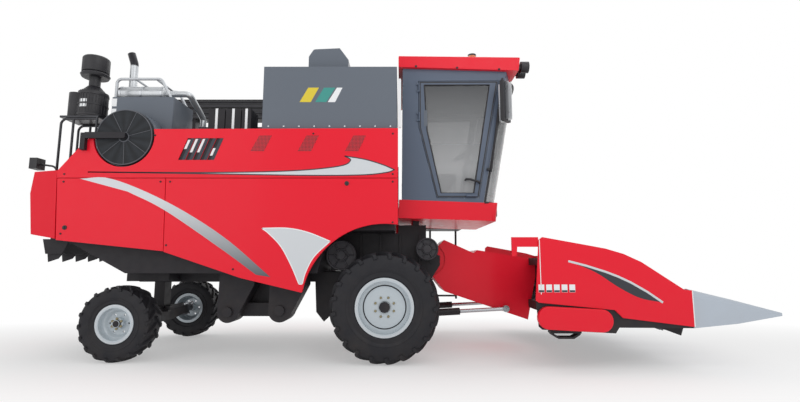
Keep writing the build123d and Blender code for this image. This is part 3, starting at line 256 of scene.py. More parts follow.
class Palette:
    """Materials of all finishes, each built once."""

    def __init__(self) -> None:
        """Starts with no material made."""
        self.made: dict[str, bpy.types.Material] = {}

    def __call__(self, finish: Finish) -> bpy.types.Material:
        """Material of a finish.

        Args:
            finish: The finish to paint with.

        Returns:
            Its material, made on the first call.
        """
        if finish.name not in self.made:
            self.made[finish.name] = self.build(finish)
        return self.made[finish.name]

    def build(self, finish: Finish) -> bpy.types.Material:
        """Builds the node tree of a finish.

        Args:
            finish: The finish to build.

        Returns:
            The material.
        """
        graph = Graph(bpy.data.materials.new(finish.name))
        tone = self.base(graph, finish)
        rough, height = self.texture(graph, finish)
        shade = graph.noise(PATCH_SCALE, 4.0)
        darker = tuple(part * (1 - 2.4 * finish.mottle) for part in colour(finish.code)[:3]) + (1.0,)
        tone = graph.blend((shade * finish.mottle * 6).ramp(0.0, 1.0, 0.0, 0.5), tone, darker)
        if finish.grain in (Grain.HOLES, Grain.RIBS, Grain.RAYS, Grain.WEAVE):
            tone = graph.blend(height.ramp(0.0, 1.0, 0.9, 0.0), tone, DEEP_SHADOW)
        if finish.dust:
            low = graph.axis("Z").ramp(0.0, DUST_HEIGHT, 1.0, 0.15)
            film = low * graph.noise(7.0, 5.0).ramp(0.35, 0.75) * finish.dust
            tone = graph.blend(film, tone, DRY_DUST)
            rough = rough + film * 0.4
        values = {
            "Base Color": tone, "Roughness": rough, "Metallic": finish.metallic,
            "Coat Weight": finish.coat, "Coat Roughness": 0.12, "Alpha": finish.alpha,
            "Specular IOR Level": finish.specular,
            "Normal": graph.bump(height, finish.relief),
        }
        if finish.glow:
            values["Emission Color"] = colour(finish.code)
            values["Emission Strength"] = finish.glow
        material = graph.end(graph.node("ShaderNodeBsdfPrincipled", values=values))
        if finish.alpha < 1:
            material.surface_render_method = "BLENDED"
        return material

    def base(self, graph: Graph, finish: Finish) -> Any:
        """Plain colour, or a fade from one colour above to another below.

        Args:
            graph: Tree that takes the nodes.
            finish: Finish whose colours are used.

        Returns:
            A colour or a wire.
        """
        if not finish.lower_code:
            return colour(finish.code)
        down = graph.axis(finish.fade_axis).ramp(finish.span[0], finish.span[1])
        return graph.blend(down, colour(finish.lower_code), colour(finish.code))

    def texture(self, graph: Graph, finish: Finish) -> tuple[Wire, Wire]:
        """Roughness and relief of a finish.

        Args:
            graph: Tree that takes the nodes.
            finish: Finish whose grain is used.

        Returns:
            The roughness and the height for the bump.
        """
        grain = finish.grain
        if grain is Grain.BRUSHED:
            height = graph.noise(finish.scale, 2.0, (1.0, 1.0, 12.0))
        elif grain in (Grain.CAST, Grain.RUBBER):
            height = graph.noise(finish.scale * 2, 6.0)
        elif grain is Grain.WEAVE:
            height = self.stripes(graph, "Y", finish.scale) * self.stripes(graph, "Z", finish.scale)
        elif grain is Grain.RIBS:
            height = self.stripes(graph, "Z", finish.scale)
        elif grain is Grain.HOLES:
            height = self.holes(graph, finish.scale)
        elif grain is Grain.RAYS:
            height = self.rays(graph, finish)
        else:
            height = graph.noise(finish.scale * 4, 1.0)
        wander = graph.noise(11.0, 4.0).ramp(0.3, 0.7, -0.05, 0.07)
        return wander + finish.roughness, height

    def stripes(self, graph: Graph, axis: str, scale: float) -> Wire:
        """Rounded stripes across an axis, as many to the metre as the scale."""
        return (graph.axis(axis) * (2 * pi * scale)).sine() * 0.5 + 0.5

    def holes(self, graph: Graph, scale: float) -> Wire:
        """Round holes of a punched sheet that stands upright along the harvester."""
        cells = graph.node(
            "ShaderNodeTexVoronoi", {"voronoi_dimensions": "2D"},
            {"Vector": self.upright(graph), "Scale": scale, "Randomness": 0.0}, output="Distance",
        )
        return cells.ramp(0.36, 0.42)

    def upright(self, graph: Graph) -> Wire:
        """Position with its height as the second coordinate."""
        return graph.node("ShaderNodeCombineXYZ", values={0: graph.axis("X"), 1: graph.axis("Z")})

    def rays(self, graph: Graph, finish: Finish) -> Wire:
        """Folds that spread from the middle of a round screen."""
        across = graph.axis("X") - finish.centre[0]
        above = graph.axis("Z") - finish.centre[1]
        turn = across.maths("ARCTAN2", above, across) * finish.scale
        fine = self.holes(graph, 130.0)
        return (turn.sine() * 0.3 + 0.5) * fine


RED = Finish("red_paint", "e8122c", coat=0.12, roughness=0.38, dust=0.03, specular=0.25, mottle=0.03)
HOOD_RED = Finish("red_hood", "e01029", Grain.CAST, coat=0.08, roughness=0.45, scale=90, specular=0.25)
SLATE = Finish("slate_paint", "646b75", roughness=0.45, coat=0.08, dust=0.04, specular=0.3)
DARK_SLATE = Finish("dark_slate", "586375", roughness=0.45, coat=0.1, specular=0.3)
BLACK = Finish("black_paint", "1f1d22", roughness=0.55, coat=0.05, dust=0.08, relief=0.08, specular=0.3)
RUBBER = Finish("tyre_rubber", "1f1f24", Grain.RUBBER, roughness=0.58, dust=0.05, relief=0.3, scale=110,
                specular=0.3)
DECK_TUBE = Finish("deck_tube", "b4b7bb", Grain.BRUSHED, roughness=0.35, metallic=0.7, scale=30,
                   lower_code="1d1c21", span=(-3.37, -3.36), fade_axis="X")
STACK = Finish("muffler_skin", "2a292d", Grain.BRUSHED, roughness=0.35, metallic=0.7, scale=30,
               lower_code="c6c9cc", span=(3.66, 3.68))
RIM = Finish("rim_silver", "bcc5cb", roughness=0.4, metallic=0.15, coat=0.2, dust=0.05, mottle=0.03)
STEEL = Finish("bright_steel", "b9bcc0", Grain.BRUSHED, roughness=0.26, metallic=1.0, scale=40)
NUT = Finish("plated_nut", "8f8568", Grain.BRUSHED, roughness=0.4, metallic=0.7, scale=60, dust=0.2)
SNOUT = Finish("snout_steel", "b4bdc8", Grain.CAST, roughness=0.4, metallic=0.25, coat=0.2, dust=0.1)
CAST = Finish("cast_grey", "55575e", Grain.CAST, roughness=0.6, relief=0.3, dust=0.2, scale=50)
SILVER = Finish("silver", "c3c6ca", Grain.BRUSHED, roughness=0.3, metallic=0.8, scale=30)
PLASTIC = Finish("black_plastic", "1c1b20", Grain.CAST, roughness=0.48, relief=0.18, scale=150)
COVER = Finish("ribbed_cover", "2b2a31", Grain.RIBS, roughness=0.5, scale=17, relief=0.7)
SCREEN = Finish("dust_screen", "353a40", Grain.RAYS, roughness=0.6, scale=14, relief=0.25, specular=0.3,
                centre=(-2.963, 2.58))
# Both glass finishes fade from dark at the top to pale at the bottom: painted shade above and a painted
# reflection below.
GLASS_WITH_PAINTED_LIGHT = Finish("cab_glass", "303338", Grain.CLEAR, roughness=0.08, coat=0.3, alpha=0.55, mottle=0.0,
               relief=0.0, lower_code="a9abad", span=(2.3, 3.35))
FRONT_GLASS_WITH_PAINTED_LIGHT = Finish("front_glass_painted_light", "4a4d50", Grain.CLEAR, roughness=0.08, coat=0.4, alpha=0.5,
                     mottle=0.0, relief=0.0, lower_code="a4a6a8", span=(1.9, 3.2))
CLOTH = Finish("seat_cloth", "34343b", Grain.WEAVE, roughness=0.9, relief=0.5, scale=230)
LENS = Finish("lamp_lens", "e9edf0", Grain.RIBS, roughness=0.12, coat=1.0, scale=70, relief=0.3, glow=0.25,
              mottle=0.01)
AMBER = Finish("amber_lens", "ef7a1c", Grain.RIBS, roughness=0.15, coat=1.0, scale=80, relief=0.3, glow=0.15)
FILM_DARK = Finish("dark_film", "33343b", roughness=0.38, coat=0.15, specular=0.3)
FILM_FADE = Finish("fading_film", "d3d6da", roughness=0.36, coat=0.15, lower_code="3f424b", span=(0.95, 1.85),
                   mottle=0.02)
FILM_SILVER = Finish("silver_film", "cdd1d5", Grain.BRUSHED, roughness=0.4, metallic=0.15, scale=20,
                     mottle=0.01)
FILM_WHITE = Finish("white_film", "eceef0", roughness=0.36, coat=0.4)
FILM_YELLOW = Finish("yellow_film", "dcc52c", roughness=0.36, coat=0.4)
FILM_GREEN = Finish("green_film", "2f8f86", roughness=0.36, coat=0.4)
GUARD_SLAT = Finish("louvre_slat", "3b3f48", Grain.CAST, roughness=0.5, scale=80, relief=0.1, specular=0.3)
PUNCHED = Finish("punched_red", "d8182d", Grain.HOLES, roughness=0.4, scale=62, relief=0.4)
PULLEY = Finish("pulley_black", "2a2930", Grain.CAST, roughness=0.55, scale=70, relief=0.25, dust=0.15)

PLAIN_DRESS: dict[str, Finish] = {
    "access_ladder": BLACK, "air_cleaner": PLASTIC, "cab_base": RED, "cab_door_left": DARK_SLATE,
    "cab_door_right": DARK_SLATE, "cab_roof": RED, "cab_shell": DARK_SLATE, "chassis_frame": BLACK,
    "deck_rails": DECK_TUBE, "door_glass_left": GLASS_WITH_PAINTED_LIGHT, "door_glass_right": GLASS_WITH_PAINTED_LIGHT, "drive_pulleys": PULLEY,
    "elevator_head": SLATE, "engine_block": CAST, "exhaust": STACK, "feeder_house": RED,
    "front_axle": BLACK, "grain_tank": SLATE, "header_auger": STEEL, "header_frame": BLACK,
    "husking_body": BLACK, "knuckle_left": CAST, "knuckle_right": CAST, "lamps": PLASTIC,
    "lift_barrels": BLACK, "lift_rods": STEEL, "lower_conveyors": BLACK, "lower_side_panels": RED,
    "mirrors": PLASTIC, "radiator_box": SLATE, "rear_axle": BLACK, "rear_hood": HOOD_RED,
    "rotary_screen": SCREEN, "row_decks": BLACK, "row_hoods": RED, "row_units": CAST, "seat": CLOTH,
    "side_fairings": RED, "snouts": SNOUT, "steering_barrel": BLACK, "steering_console": PLASTIC,
    "steering_rod": STEEL, "straw_chopper": BLACK, "suction_arm": BLACK, "tie_rod": CAST,
    "tool_boxes": BLACK, "unloading_conveyor": COVER, "unloading_turret": BLACK,
    "upper_side_panels": RED, "windscreen": FRONT_GLASS_WITH_PAINTED_LIGHT,
    "rim_front_left": RIM, "rim_front_right": RIM, "rim_rear_left": RIM, "rim_rear_right": RIM,
    "tyre_front_left": RUBBER, "tyre_front_right": RUBBER, "tyre_rear_left": RUBBER,
    "tyre_rear_right": RUBBER,
}
UNBEVELLED = {
    "door_glass_left", "door_glass_right", "windscreen", "tyre_front_left", "tyre_front_right",
    "tyre_rear_left", "tyre_rear_right", "header_auger", "row_units", "seat",
}


def soften(piece: bpy.types.Object, width: float) -> bpy.types.BevelModifier:
    """Rounds the sharp edges of a piece.

    Args:
        piece: Object to round.
        width: Width of its rounded edges.

    Returns:
        The modifier, for further settings.
    """
    edges = piece.modifiers.new("edges", "BEVEL")
    edges.width = width
    edges.segments = 2
    edges.limit_method = "ANGLE"
    return edges


class Shape:
    """Mesh of one piece, added up from simple forms in metres on the harvester."""

    def __init__(self) -> None:
        """Starts with no faces."""
        self.mesh = bmesh.new()

    def faces(self, points: Sequence[Sequence[float]], loops: Sequence[Sequence[int]]) -> "Shape":
        """Adds points and the faces between them."""
        made = [self.mesh.verts.new(point) for point in points]
        for loop in loops:
            self.mesh.faces.new([made[number] for number in loop])
        return self

    def prism(self, outline: Flat, near: float, far: float) -> "Shape":
        """Outline along the harvester, carried between two places across it.

        Args:
            outline: X and Z of the corners.
            near: First Y.
            far: Second Y.

        Returns:
            The shape, for further forms.
        """
        count = len(outline)
        points = [(x, y, z) for y in (near, far) for x, z in outline]
        sides = [(at, (at + 1) % count, count + (at + 1) % count, count + at) for at in range(count)]
        ends = [tuple(range(count)), tuple(range(2 * count - 1, count - 1, -1))]
        return self.faces(points, ends + sides)

    def box(self, low: Point, high: Point, turn: Matrix | None = None) -> "Shape":
        """Block between two corners, turned about its own middle if a rotation is given."""
        middle = (Vector(low) + Vector(high)) / 2
        half = (Vector(high) - Vector(low)) / 2
        points = []
        for signs in ((-1, -1), (1, -1), (1, 1), (-1, 1)):
            for level in (-1, 1):
                offset = Vector((half.x * signs[0], half.y * signs[1], half.z * level))
                points.append(middle + (turn @ offset if turn else offset))
        loops = [(0, 2, 4, 6), (1, 7, 5, 3), (0, 1, 3, 2), (2, 3, 5, 4), (4, 5, 7, 6), (6, 7, 1, 0)]
        return self.faces(points, loops)

    def plate(
        self, side: int, near: float, far: float, low: Sequence[float], high: Sequence[float],
    ) -> "Shape":
        """Upright block on one side.

        Args:
            side: -1 for the right side and 1 for the left.
            near: Distance of its inner face from the middle plane.
            far: Distance of its outer face.
            low: Lowest X and Z.
            high: Highest X and Z.

        Returns:
            The shape, for further forms.
        """
        inner, outer = sorted((side * near, side * far))
        return self.box((low[0], inner, low[1]), (high[0], outer, high[1]))

    def hoop(self, centre: Point, radius: float, bar: float, steps: int) -> "Shape":
        """Round bar bent into an upright ring along the harvester.

        Args:
            centre: Middle of the ring.
            radius: Radius of the ring.
            bar: Radius of the bar.
            steps: Straight lengths that it is made of.

        Returns:
            The shape, for further forms.
        """
        x, y, z = centre
        turns = [2 * pi * at / steps for at in range(steps + 1)]
        return self.tube([(x + radius * cos(turn), y, z + radius * sin(turn)) for turn in turns], bar, 8)

    def spokes(
        self, centre: Point, count: int, start: float, reach: tuple[float, float], bar: float, sides: int,
    ) -> "Shape":
        """Straight bars that spread in an upright ring.

        Args:
            centre: Middle of the ring.
            count: Number of bars.
            start: Place of the first, in pitches.
            reach: Inner and outer radius.
            bar: Radius of a bar.
            sides: Corners of its section.

        Returns:
            The shape, for further forms.
        """
        x, y, z = centre
        for number in range(count):
            turn = 2 * pi * (number + start) / count
            self.tube([(x + far * cos(turn), y, z + far * sin(turn)) for far in reach], bar, sides)
        return self

    def lathe(self, centre: Point, axis: Point, profile: Flat, sides: int = 48) -> "Shape":
        """Turned form.

        Args:
            centre: Point that the profile's first numbers are measured from.
            axis: Direction of the axis.
            profile: Distance along the axis and radius of each ring, closed with radius 0 if solid.
            sides: Corners of each ring.

        Returns:
            The shape, for further forms.
        """
        way = Vector(axis).normalized()
        across = way.orthogonal().normalized()
        other = way.cross(across)
        rings = []
        for along, radius in profile:
            spot = Vector(centre) + way * along
            if radius <= 0:
                rings.append([self.mesh.verts.new(spot)])
                continue
            rings.append([
                self.mesh.verts.new(spot + across * (radius * cos(2 * pi * at / sides))
                                    + other * (radius * sin(2 * pi * at / sides)))
                for at in range(sides)
            ])
        for first, second in zip(rings, rings[1:]):
            for at in range(sides):
                corners = [first[at % len(first)], first[(at + 1) % len(first)],
                           second[(at + 1) % len(second)], second[at % len(second)]]
                kept = list(dict.fromkeys(corners))
                if len(kept) > 2:
                    self.mesh.faces.new(kept)
        return self

    def tube(self, path: Sequence[Point], radius: float, sides: int = 10) -> "Shape":
        """Round bar along a path, its ends closed.

        Args:
            path: Points of the middle line.
            radius: Radius of the bar.
            sides: Corners of its section.

        Returns:
            The shape, for further forms.
        """
        line = [Vector(point) for point in path]
        rings = []
        across = (line[1] - line[0]).orthogonal().normalized()
        for at, spot in enumerate(line):
            way = (line[min(at + 1, len(line) - 1)] - line[max(at - 1, 0)]).normalized()
            across = (across - way * across.dot(way)).normalized()
            other = way.cross(across)
            rings.append([
                self.mesh.verts.new(spot + across * (radius * cos(2 * pi * turn / sides))
                                    + other * (radius * sin(2 * pi * turn / sides)))
                for turn in range(sides)
            ])
        for first, second in zip(rings, rings[1:]):
            for at in range(sides):
                self.mesh.faces.new([first[at], first[(at + 1) % sides],
                                     second[(at + 1) % sides], second[at]])
        self.mesh.faces.new(rings[0][::-1])
        self.mesh.faces.new(rings[-1])
        return self

    def nut(self, centre: Point, axis: Point, across: float, height: float) -> "Shape":
        """Six-sided nut with a rounded top."""
        profile = [(0, across * 0.58), (height * 0.8, across * 0.58), (height, across * 0.4), (height, 0)]
        return self.lathe(centre, axis, profile, 6)

    def place(
        self, name: str, body: str, slot: str, material: bpy.types.Material, bevel: float = 0.0,
        smooth: float = 35.0,
    ) -> bpy.types.Object:
        """Makes the object of the shape.

        Args:
            name: Name of the piece.
            body: Moving body that it rides on.
            slot: Slot of the record that its finish stands for; not used.
            material: Material of all its faces.
            bevel: Width of its rounded edges.
            smooth: Angle in degrees below which edges are shaded smooth.

        Returns:
            The new object.
        """
        bmesh.ops.recalc_face_normals(self.mesh, faces=self.mesh.faces)
        for face in self.mesh.faces:
            face.smooth = True
        for edge in self.mesh.edges:
            edge.smooth = edge.calc_face_angle(pi) < radians(smooth)
        data = bpy.data.meshes.new(name)
        self.mesh.to_mesh(data)
        self.mesh.free()
        piece = bpy.data.objects.new(name, data)
        bpy.context.scene.collection.objects.link(piece)
        data.materials.append(material)
        if bevel:
            soften(piece, bevel)
        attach(piece, body)
        log.info("%s on %s", name, body)
        return piece


def flowing(points: Flat, corners: Sequence[int]) -> list[tuple[float, float]]:
    """Closed outline that flows through its points and keeps some of them sharp.

    Args:
        points: Corners of the outline in order.
        corners: Numbers of the points that stay sharp.

    Returns:
        The finer outline.
    """
    count = len(points)
    fine = []
    for at in range(count):
        first, second = Vector(points[at]), Vector(points[(at + 1) % count])
        before = first * 2 - second if at in corners else Vector(points[at - 1])
        after = second * 2 - first if (at + 1) % count in corners else Vector(points[(at + 2) % count])
        for step in range(FLOW_STEPS):
            t = step / FLOW_STEPS
            spot = (first * 2 + (second - before) * t + (before * 2 - first * 5 + second * 4 - after) * t * t
                    + (first * 3 - before - second * 3 + after) * t * t * t) / 2
            fine.append((spot.x, spot.y))
    return fine


def strip(points: Flat, width: float) -> list[tuple[float, float]]:
    """Outline of a narrow band along a line in the side view."""
    line = [Vector(point) for point in points]
    left, right = [], []
    for at, spot in enumerate(line):
        way = (line[min(at + 1, len(line) - 1)] - line[max(at - 1, 0)]).normalized()
        side = Vector((-way.y, way.x)) * width / 2
        left.append(tuple(spot + side))
        right.append(tuple(spot - side))
    return left + right[::-1]


@dataclass
class Wheels:
    """One axle's pair of tyres, with the nuts and hub parts of their rims."""

    name: str
    x: float
    radius: float
    width: float
    track: float
    seat: float
    rim_width: float
    lugs: int
    nuts: int
    nut_circle: float
    nut_out: float
    hub_radius: float
    disc_radius: float = 0.0
    # Distance of the black ring of painted shade at the disc's edge from the track.
    shade_ring_out: float = 0.0738
    lug_trail: float = 0.86

    def build(self, palette: Palette) -> None:
        """Makes the tyres and nuts of both sides."""
        for side, word in SIDES:
            body = f"wheel_{self.name}_{word}"
            centre = (self.x, side * self.track, self.radius)
            tyre = Shape()
            self.carcass(tyre, centre)
            for number in range(self.lugs):
                for hand in (1, -1):
                    self.lug(tyre, centre, hand, number + (0.5 if hand < 0 else 0.0))
            piece = tyre.place(f"{self.name}_tyre_{word}", body, "tyre", palette(RUBBER), smooth=28)
            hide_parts(f"tyre_{self.name}_{word}")
            nuts = Shape()
            face = side * (self.track + self.nut_out)
            for number in range(self.nuts):
                turn = 2 * pi * (number + 0.5) / self.nuts
                along, above = self.nut_circle * cos(turn), self.nut_circle * sin(turn)
                nuts.nut((self.x + along, face, self.radius + above), (0, side, 0), 0.026, 0.018)
            nuts.place(f"{self.name}_wheel_nuts_{word}", body, "bright_steel", palette(NUT))
            self.hub(side, word, body, face, palette)

    def hub(self, side: int, word: str, body: str, face: float, palette: Palette) -> None:
        """Adds the dark hub cap, the bright bead ring and a thin black ring of painted shade where the disc
        meets the rim.

        Args:
            side: -1 for the right wheel and 1 for the left.
            word: Name of that side.
            body: Body of the wheel.
            face: Y of the disc's outer face.
            palette: Materials of the finishes.
        """
        middle, outwards = (self.x, face, self.radius), (0, side, 0)
        hub, disc, seat = self.hub_radius, self.disc_radius, self.seat
        cap = [(-0.004, hub), (0.020, hub), (0.0265, hub - 0.007), (0.0265, hub * 0.5), (0.0268, 0)]
        Shape().lathe(middle, outwards, cap, 40).place(
            f"{self.name}_hub_cap_{word}", body, "frame_black", palette(BLACK))
        if disc:
            plate = [(-0.010, disc), (-0.004, disc), (-0.001, disc - 0.004), (0.0, disc * 0.62),
                     (0.001, hub + 0.012), (0.001, hub - 0.001)]
            Shape().lathe(middle, outwards, plate, 72).place(
                f"{self.name}_wheel_disc_{word}", body, "rim_silver", palette(RIM))
            # Thin black ring just off the disc: painted shade at the disc's edge.
            shade_ring = [(0, disc - 0.004), (0.0008, disc - 0.002), (0.0008, disc + 0.010), (0, disc + 0.012)]
            foot = (self.x, side * (self.track + self.shade_ring_out), self.radius)
            Shape().lathe(foot, outwards, shade_ring, 72).place(
                f"{self.name}_disc_shade_ring_{word}", body, "frame_black", palette(BLACK))
        edge = (self.x, side * (self.track + self.rim_width / 2 - 0.004), self.radius)
        bead = [(0, seat + 0.004), (0.0045, seat + 0.008), (0.0045, seat + 0.019), (0, seat + 0.022)]
        Shape().lathe(edge, outwards, bead, 72).place(
            f"{self.name}_bead_ring_{word}", body, "rim_silver", palette(SILVER))

    def carcass(self, tyre: Shape, centre: Point) -> None:
        """Turns the casing from one bead over the crown to the other.

        Args:
            tyre: Shape that takes it.
            centre: Middle of the wheel.
        """
        crown = self.radius * 0.945
        bead = self.rim_width / 2 - 0.008
        half = self.width / 2
        wall = self.seat + 0.03
        section = [
            (bead, self.seat + 0.002), (bead, wall), (bead + 0.010, wall + 0.012),
            (half - 0.022, wall + (crown - wall) * 0.22), (half - 0.010, wall + (crown - wall) * 0.30),
            (half - 0.008, wall + (crown - wall) * 0.36), (half - 0.012, wall + (crown - wall) * 0.38),
            (half - 0.008, wall + (crown - wall) * 0.60), (half - 0.014, wall + (crown - wall) * 0.80),
            (half * 0.86, crown - self.radius * 0.022), (half * 0.62, crown - 0.004), (half * 0.2, crown),
        ]
        ring = [(-along, radius) for along, radius in section] + section[::-1]
        tyre.lathe(centre, (0, 1, 0), ring + ring[:1], 96)

    def lug(self, tyre: Shape, centre: Point, hand: int, number: float) -> None:
        """Adds one bar that starts at the middle of the tread and bends down over the shoulder.

        Args:
            tyre: Shape that takes it.
            centre: Middle of the wheel.
            hand: 1 for the left half of the tread and -1 for the right.
            number: Place round the tyre, in pitches.
        """
        top = self.radius
        half = self.width / 2
        outer = [(0.03, top), (0.30, top), (0.58, top - 0.003), (0.82, top - 0.010), (0.955, top - 0.030),
                 (1.0, top * 0.915), (0.99, top * 0.872)]
        inner = [(0.03, top * 0.93), (0.30, top * 0.93), (0.58, top * 0.925), (0.80, top * 0.91),
                 (0.88, top * 0.89), (0.90, top * 0.88), (0.90, top * 0.86)]
        pitch = 2 * pi / self.lugs
        points: list[Point] = []
        for step, (high, low) in enumerate(zip(outer, inner)):
            reach = step / (len(outer) - 1)
            angle = pitch * number + self.lug_trail * self.width / (2 * top) * min(1.0, high[0]) ** 0.85
            for (across, radius), spread in ((high, 0.024 + 0.008 * reach), (low, 0.040 + 0.006 * reach)):
                for way in (-1, 1):
                    turn = angle + way * spread * (self.radius / 0.625) ** 0.5 / self.radius / 1.6
                    points.append((centre[0] + radius * sin(turn), centre[1] + hand * across * half,
                                   centre[2] + radius * cos(turn)))
        loops = [(0, 1, 3, 2), (len(points) - 4, len(points) - 2, len(points) - 1, len(points) - 3)]
        for step in range(len(outer) - 1):
            at = 4 * step
            loops += [(at, at + 4, at + 5, at + 1), (at, at + 2, at + 6, at + 4),
                      (at + 1, at + 5, at + 7, at + 3)]
        tyre.faces(points, loops)


@dataclass
class Bodywork:
    """Films, punched patches, louvre slats, screws and latches of both sides."""

    skin: float = 1.160
    spear: Flat = (
        (-3.349, 2.164), (-2.051, 2.157), (-1.033, 2.176), (-0.448, 2.231), (-0.31, 2.302), (-0.38, 2.353),
        (-0.143, 2.313), (0.055, 2.253), (0.2, 2.191), (0.102, 2.158), (-0.199, 2.129), (-0.893, 2.125),
        (-2.051, 2.145),
    )
    band: Flat = (
        (-3.435, 2.086), (-3.065, 2.083), (-2.419, 1.819), (-1.757, 1.424), (-1.193, 0.962),
        (-1.358, 0.988), (-1.75, 1.268), (-2.433, 1.719), (-2.875, 1.936),
    )
    crescent: Flat = (
        (-1.31, 1.512), (-1.015, 1.512), (-0.779, 1.463), (-0.531, 1.365), (-0.71, 1.19), (-0.80, 1.017),
        (-0.835, 0.885), (-0.87, 0.885), (-0.965, 1.094), (-1.087, 1.306), (-1.229, 1.452),
    )
    patch: Flat = ((-1.381, 2.597), (-1.235, 2.597), (-1.323, 2.409), (-1.478, 2.409))
    patch_steps: tuple[float, ...] = (0.0, 0.55, 1.10)
    spear_corners: tuple[int, ...] = (0, 5, 8)
    band_corners: tuple[int, ...] = (0, 4, 5, 8)
    crescent_corners: tuple[int, ...] = (0, 3, 6, 7)
    edge_width: float = 0.012
    louvre: Flat = ((-2.217, 2.568), (-1.795, 2.568), (-1.898, 2.306), (-2.317, 2.306))
    louvre_top: float = 2.568
    slat_x: float = -2.175
    slat_pitch: float = 0.084
    slat_lean: float = 0.1 / 0.262
    # Slat number and lowest and highest Z of each white strip of painted light between the slats.
    painted_light_gaps: tuple[tuple[int, float, float], ...] = (
        (0, 2.44, 2.55), (1, 2.40, 2.56), (2, 2.40, 2.56), (4, 2.36, 2.45),
    )
    screws: Flat = (
        (-3.62, 2.05), (-3.60, 1.45), (-2.50, 2.05), (-2.39, 2.05), (-2.39, 1.32), (-1.62, 1.05),
        (0.18, 2.05), (0.18, 1.58), (-3.62, 2.14), (-2.6, 2.60), (0.18, 2.62), (-0.75, 2.62), (0.18, 2.14),
    )
    latches: Flat = ((-3.56, 1.52), (-0.35, 2.03))

    def build(self, palette: Palette) -> None:
        """Makes everything that lies on the side panels."""
        spear = flowing(self.spear, self.spear_corners)
        band = flowing(self.band, self.band_corners)
        crescent = flowing(self.crescent, self.crescent_corners)
        silver, white = palette(FILM_SILVER), palette(FILM_WHITE)
        for side, word in SIDES:
            self.film_on(f"spear_{word}", side, spear, silver, "silver")
            self.edging(f"spear_edge_{word}", side, spear, self.spear_corners, palette(FILM_DARK), "slate")
            self.film_on(f"band_{word}", side, band, palette(FILM_FADE), "silver")
            self.film_on(f"crescent_{word}", side, crescent, silver, "silver")
            self.edging(f"crescent_edge_{word}", side, crescent, self.crescent_corners, white, "silver")
            for number, shift in enumerate(self.patch_steps):
                moved = [(x + shift, z) for x, z in self.patch]
                self.film_on(f"punched_patch_{number}_{word}", side, moved, palette(PUNCHED), "red_panel",
                             0.003)
            self.slats(side, word, palette)
            self.fasteners(side, word, palette)

    def edging(
        self, name: str, side: int, outline: Flat, corners: Sequence[int], material: bpy.types.Material,
        slot: str,
    ) -> None:
        """Lays a narrow line round a film, broken at its corners.

        Args:
            name: Name of the piece.
            side: -1 for the right side and 1 for the left.
            outline: Fine outline of the film.
            corners: Numbers of the sharp points in the outline that it was made from.
            material: What it is dressed in.
            slot: Slot of the record.
        """
        closed = list(outline) + [outline[0]]
        stops = [FLOW_STEPS * corner for corner in corners] + [len(outline)]
        shape = Shape()
        for first, last in zip(stops, stops[1:]):
            line = strip(closed[first:last + 1], self.edge_width)
            shape.prism(line, side * self.skin, side * (self.skin + 0.0022))
        shape.place(name, "chassis", slot, material)

    def film_on(
        self, name: str, side: int, outline: Flat, material: bpy.types.Material, slot: str,
        proud: float = 0.0012,
    ) -> None:
        """Lays a thin film on one side panel.

        Args:
            name: Name of the piece.
            side: -1 for the right side and 1 for the left.
            outline: X and Z of its edge.
            material: What it is dressed in.
            slot: Slot of the record.
            proud: How far it stands out of the panel.
        """
        shape = Shape().prism(outline, side * self.skin, side * (self.skin + proud))
        shape.place(name, "chassis", slot, material)

    def slats(self, side: int, word: str, palette: Palette) -> None:
        """Dresses the louvre: a black plate of painted shade in its recess, white strips of painted light
        between its slats and dark faces on its five slats.
        """
        # Black plate in the recess behind the slats: painted shade.
        plate = Shape().prism(self.louvre, side * 1.1462, side * 1.1475)
        plate.place(f"louvre_shade_plate_{word}", "chassis", "frame_black", palette(BLACK))
        # White strips between the slats: painted light.
        gaps = Shape()
        for number, low, high in self.painted_light_gaps:
            x = self.slat_x + self.slat_pitch * number - 0.019
            foot = x - (self.louvre_top - low) * self.slat_lean
            top = x - (self.louvre_top - high) * self.slat_lean
            gaps.prism([(foot - 0.016, low), (foot + 0.014, low), (top + 0.014, high), (top - 0.016, high)],
                       side * 1.1476, side * 1.1486)
        gaps.place(f"louvre_painted_light_{word}", "chassis", "silver", palette(FILM_WHITE))
        faces = Shape()
        for number in range(5):
            x = self.slat_x + self.slat_pitch * number
            faces.prism([(x, 2.566), (x + 0.04, 2.566), (x - 0.059, 2.308), (x - 0.099, 2.308)],
                        side * 1.157, side * 1.1585)
        faces.place(f"louvre_slats_{word}", "chassis", "slate", palette(GUARD_SLAT))

    def fasteners(self, side: int, word: str, palette: Palette) -> None:
        """Adds the panel screws and the two rotary latches."""
        screws = Shape()
        for x, z in self.screws:
            screws.nut((x, side * self.skin, z), (0, side, 0), 0.020, 0.007)
        screws.place(f"panel_screws_{word}", "chassis", "frame_black", palette(BLACK))
        latches = Shape()
        knob = [(0, 0.026), (0.006, 0.026), (0.008, 0.022), (0.008, 0)]
        for x, z in self.latches:
            latches.lathe((x, side * self.skin, z), (0, side, 0), knob, 24)
            latches.plate(side, 1.168, 1.174, (x - 0.004, z - 0.02), (x + 0.004, z + 0.02))
        latches.place(f"panel_latches_{word}", "chassis", "black_plastic", palette(PLASTIC))


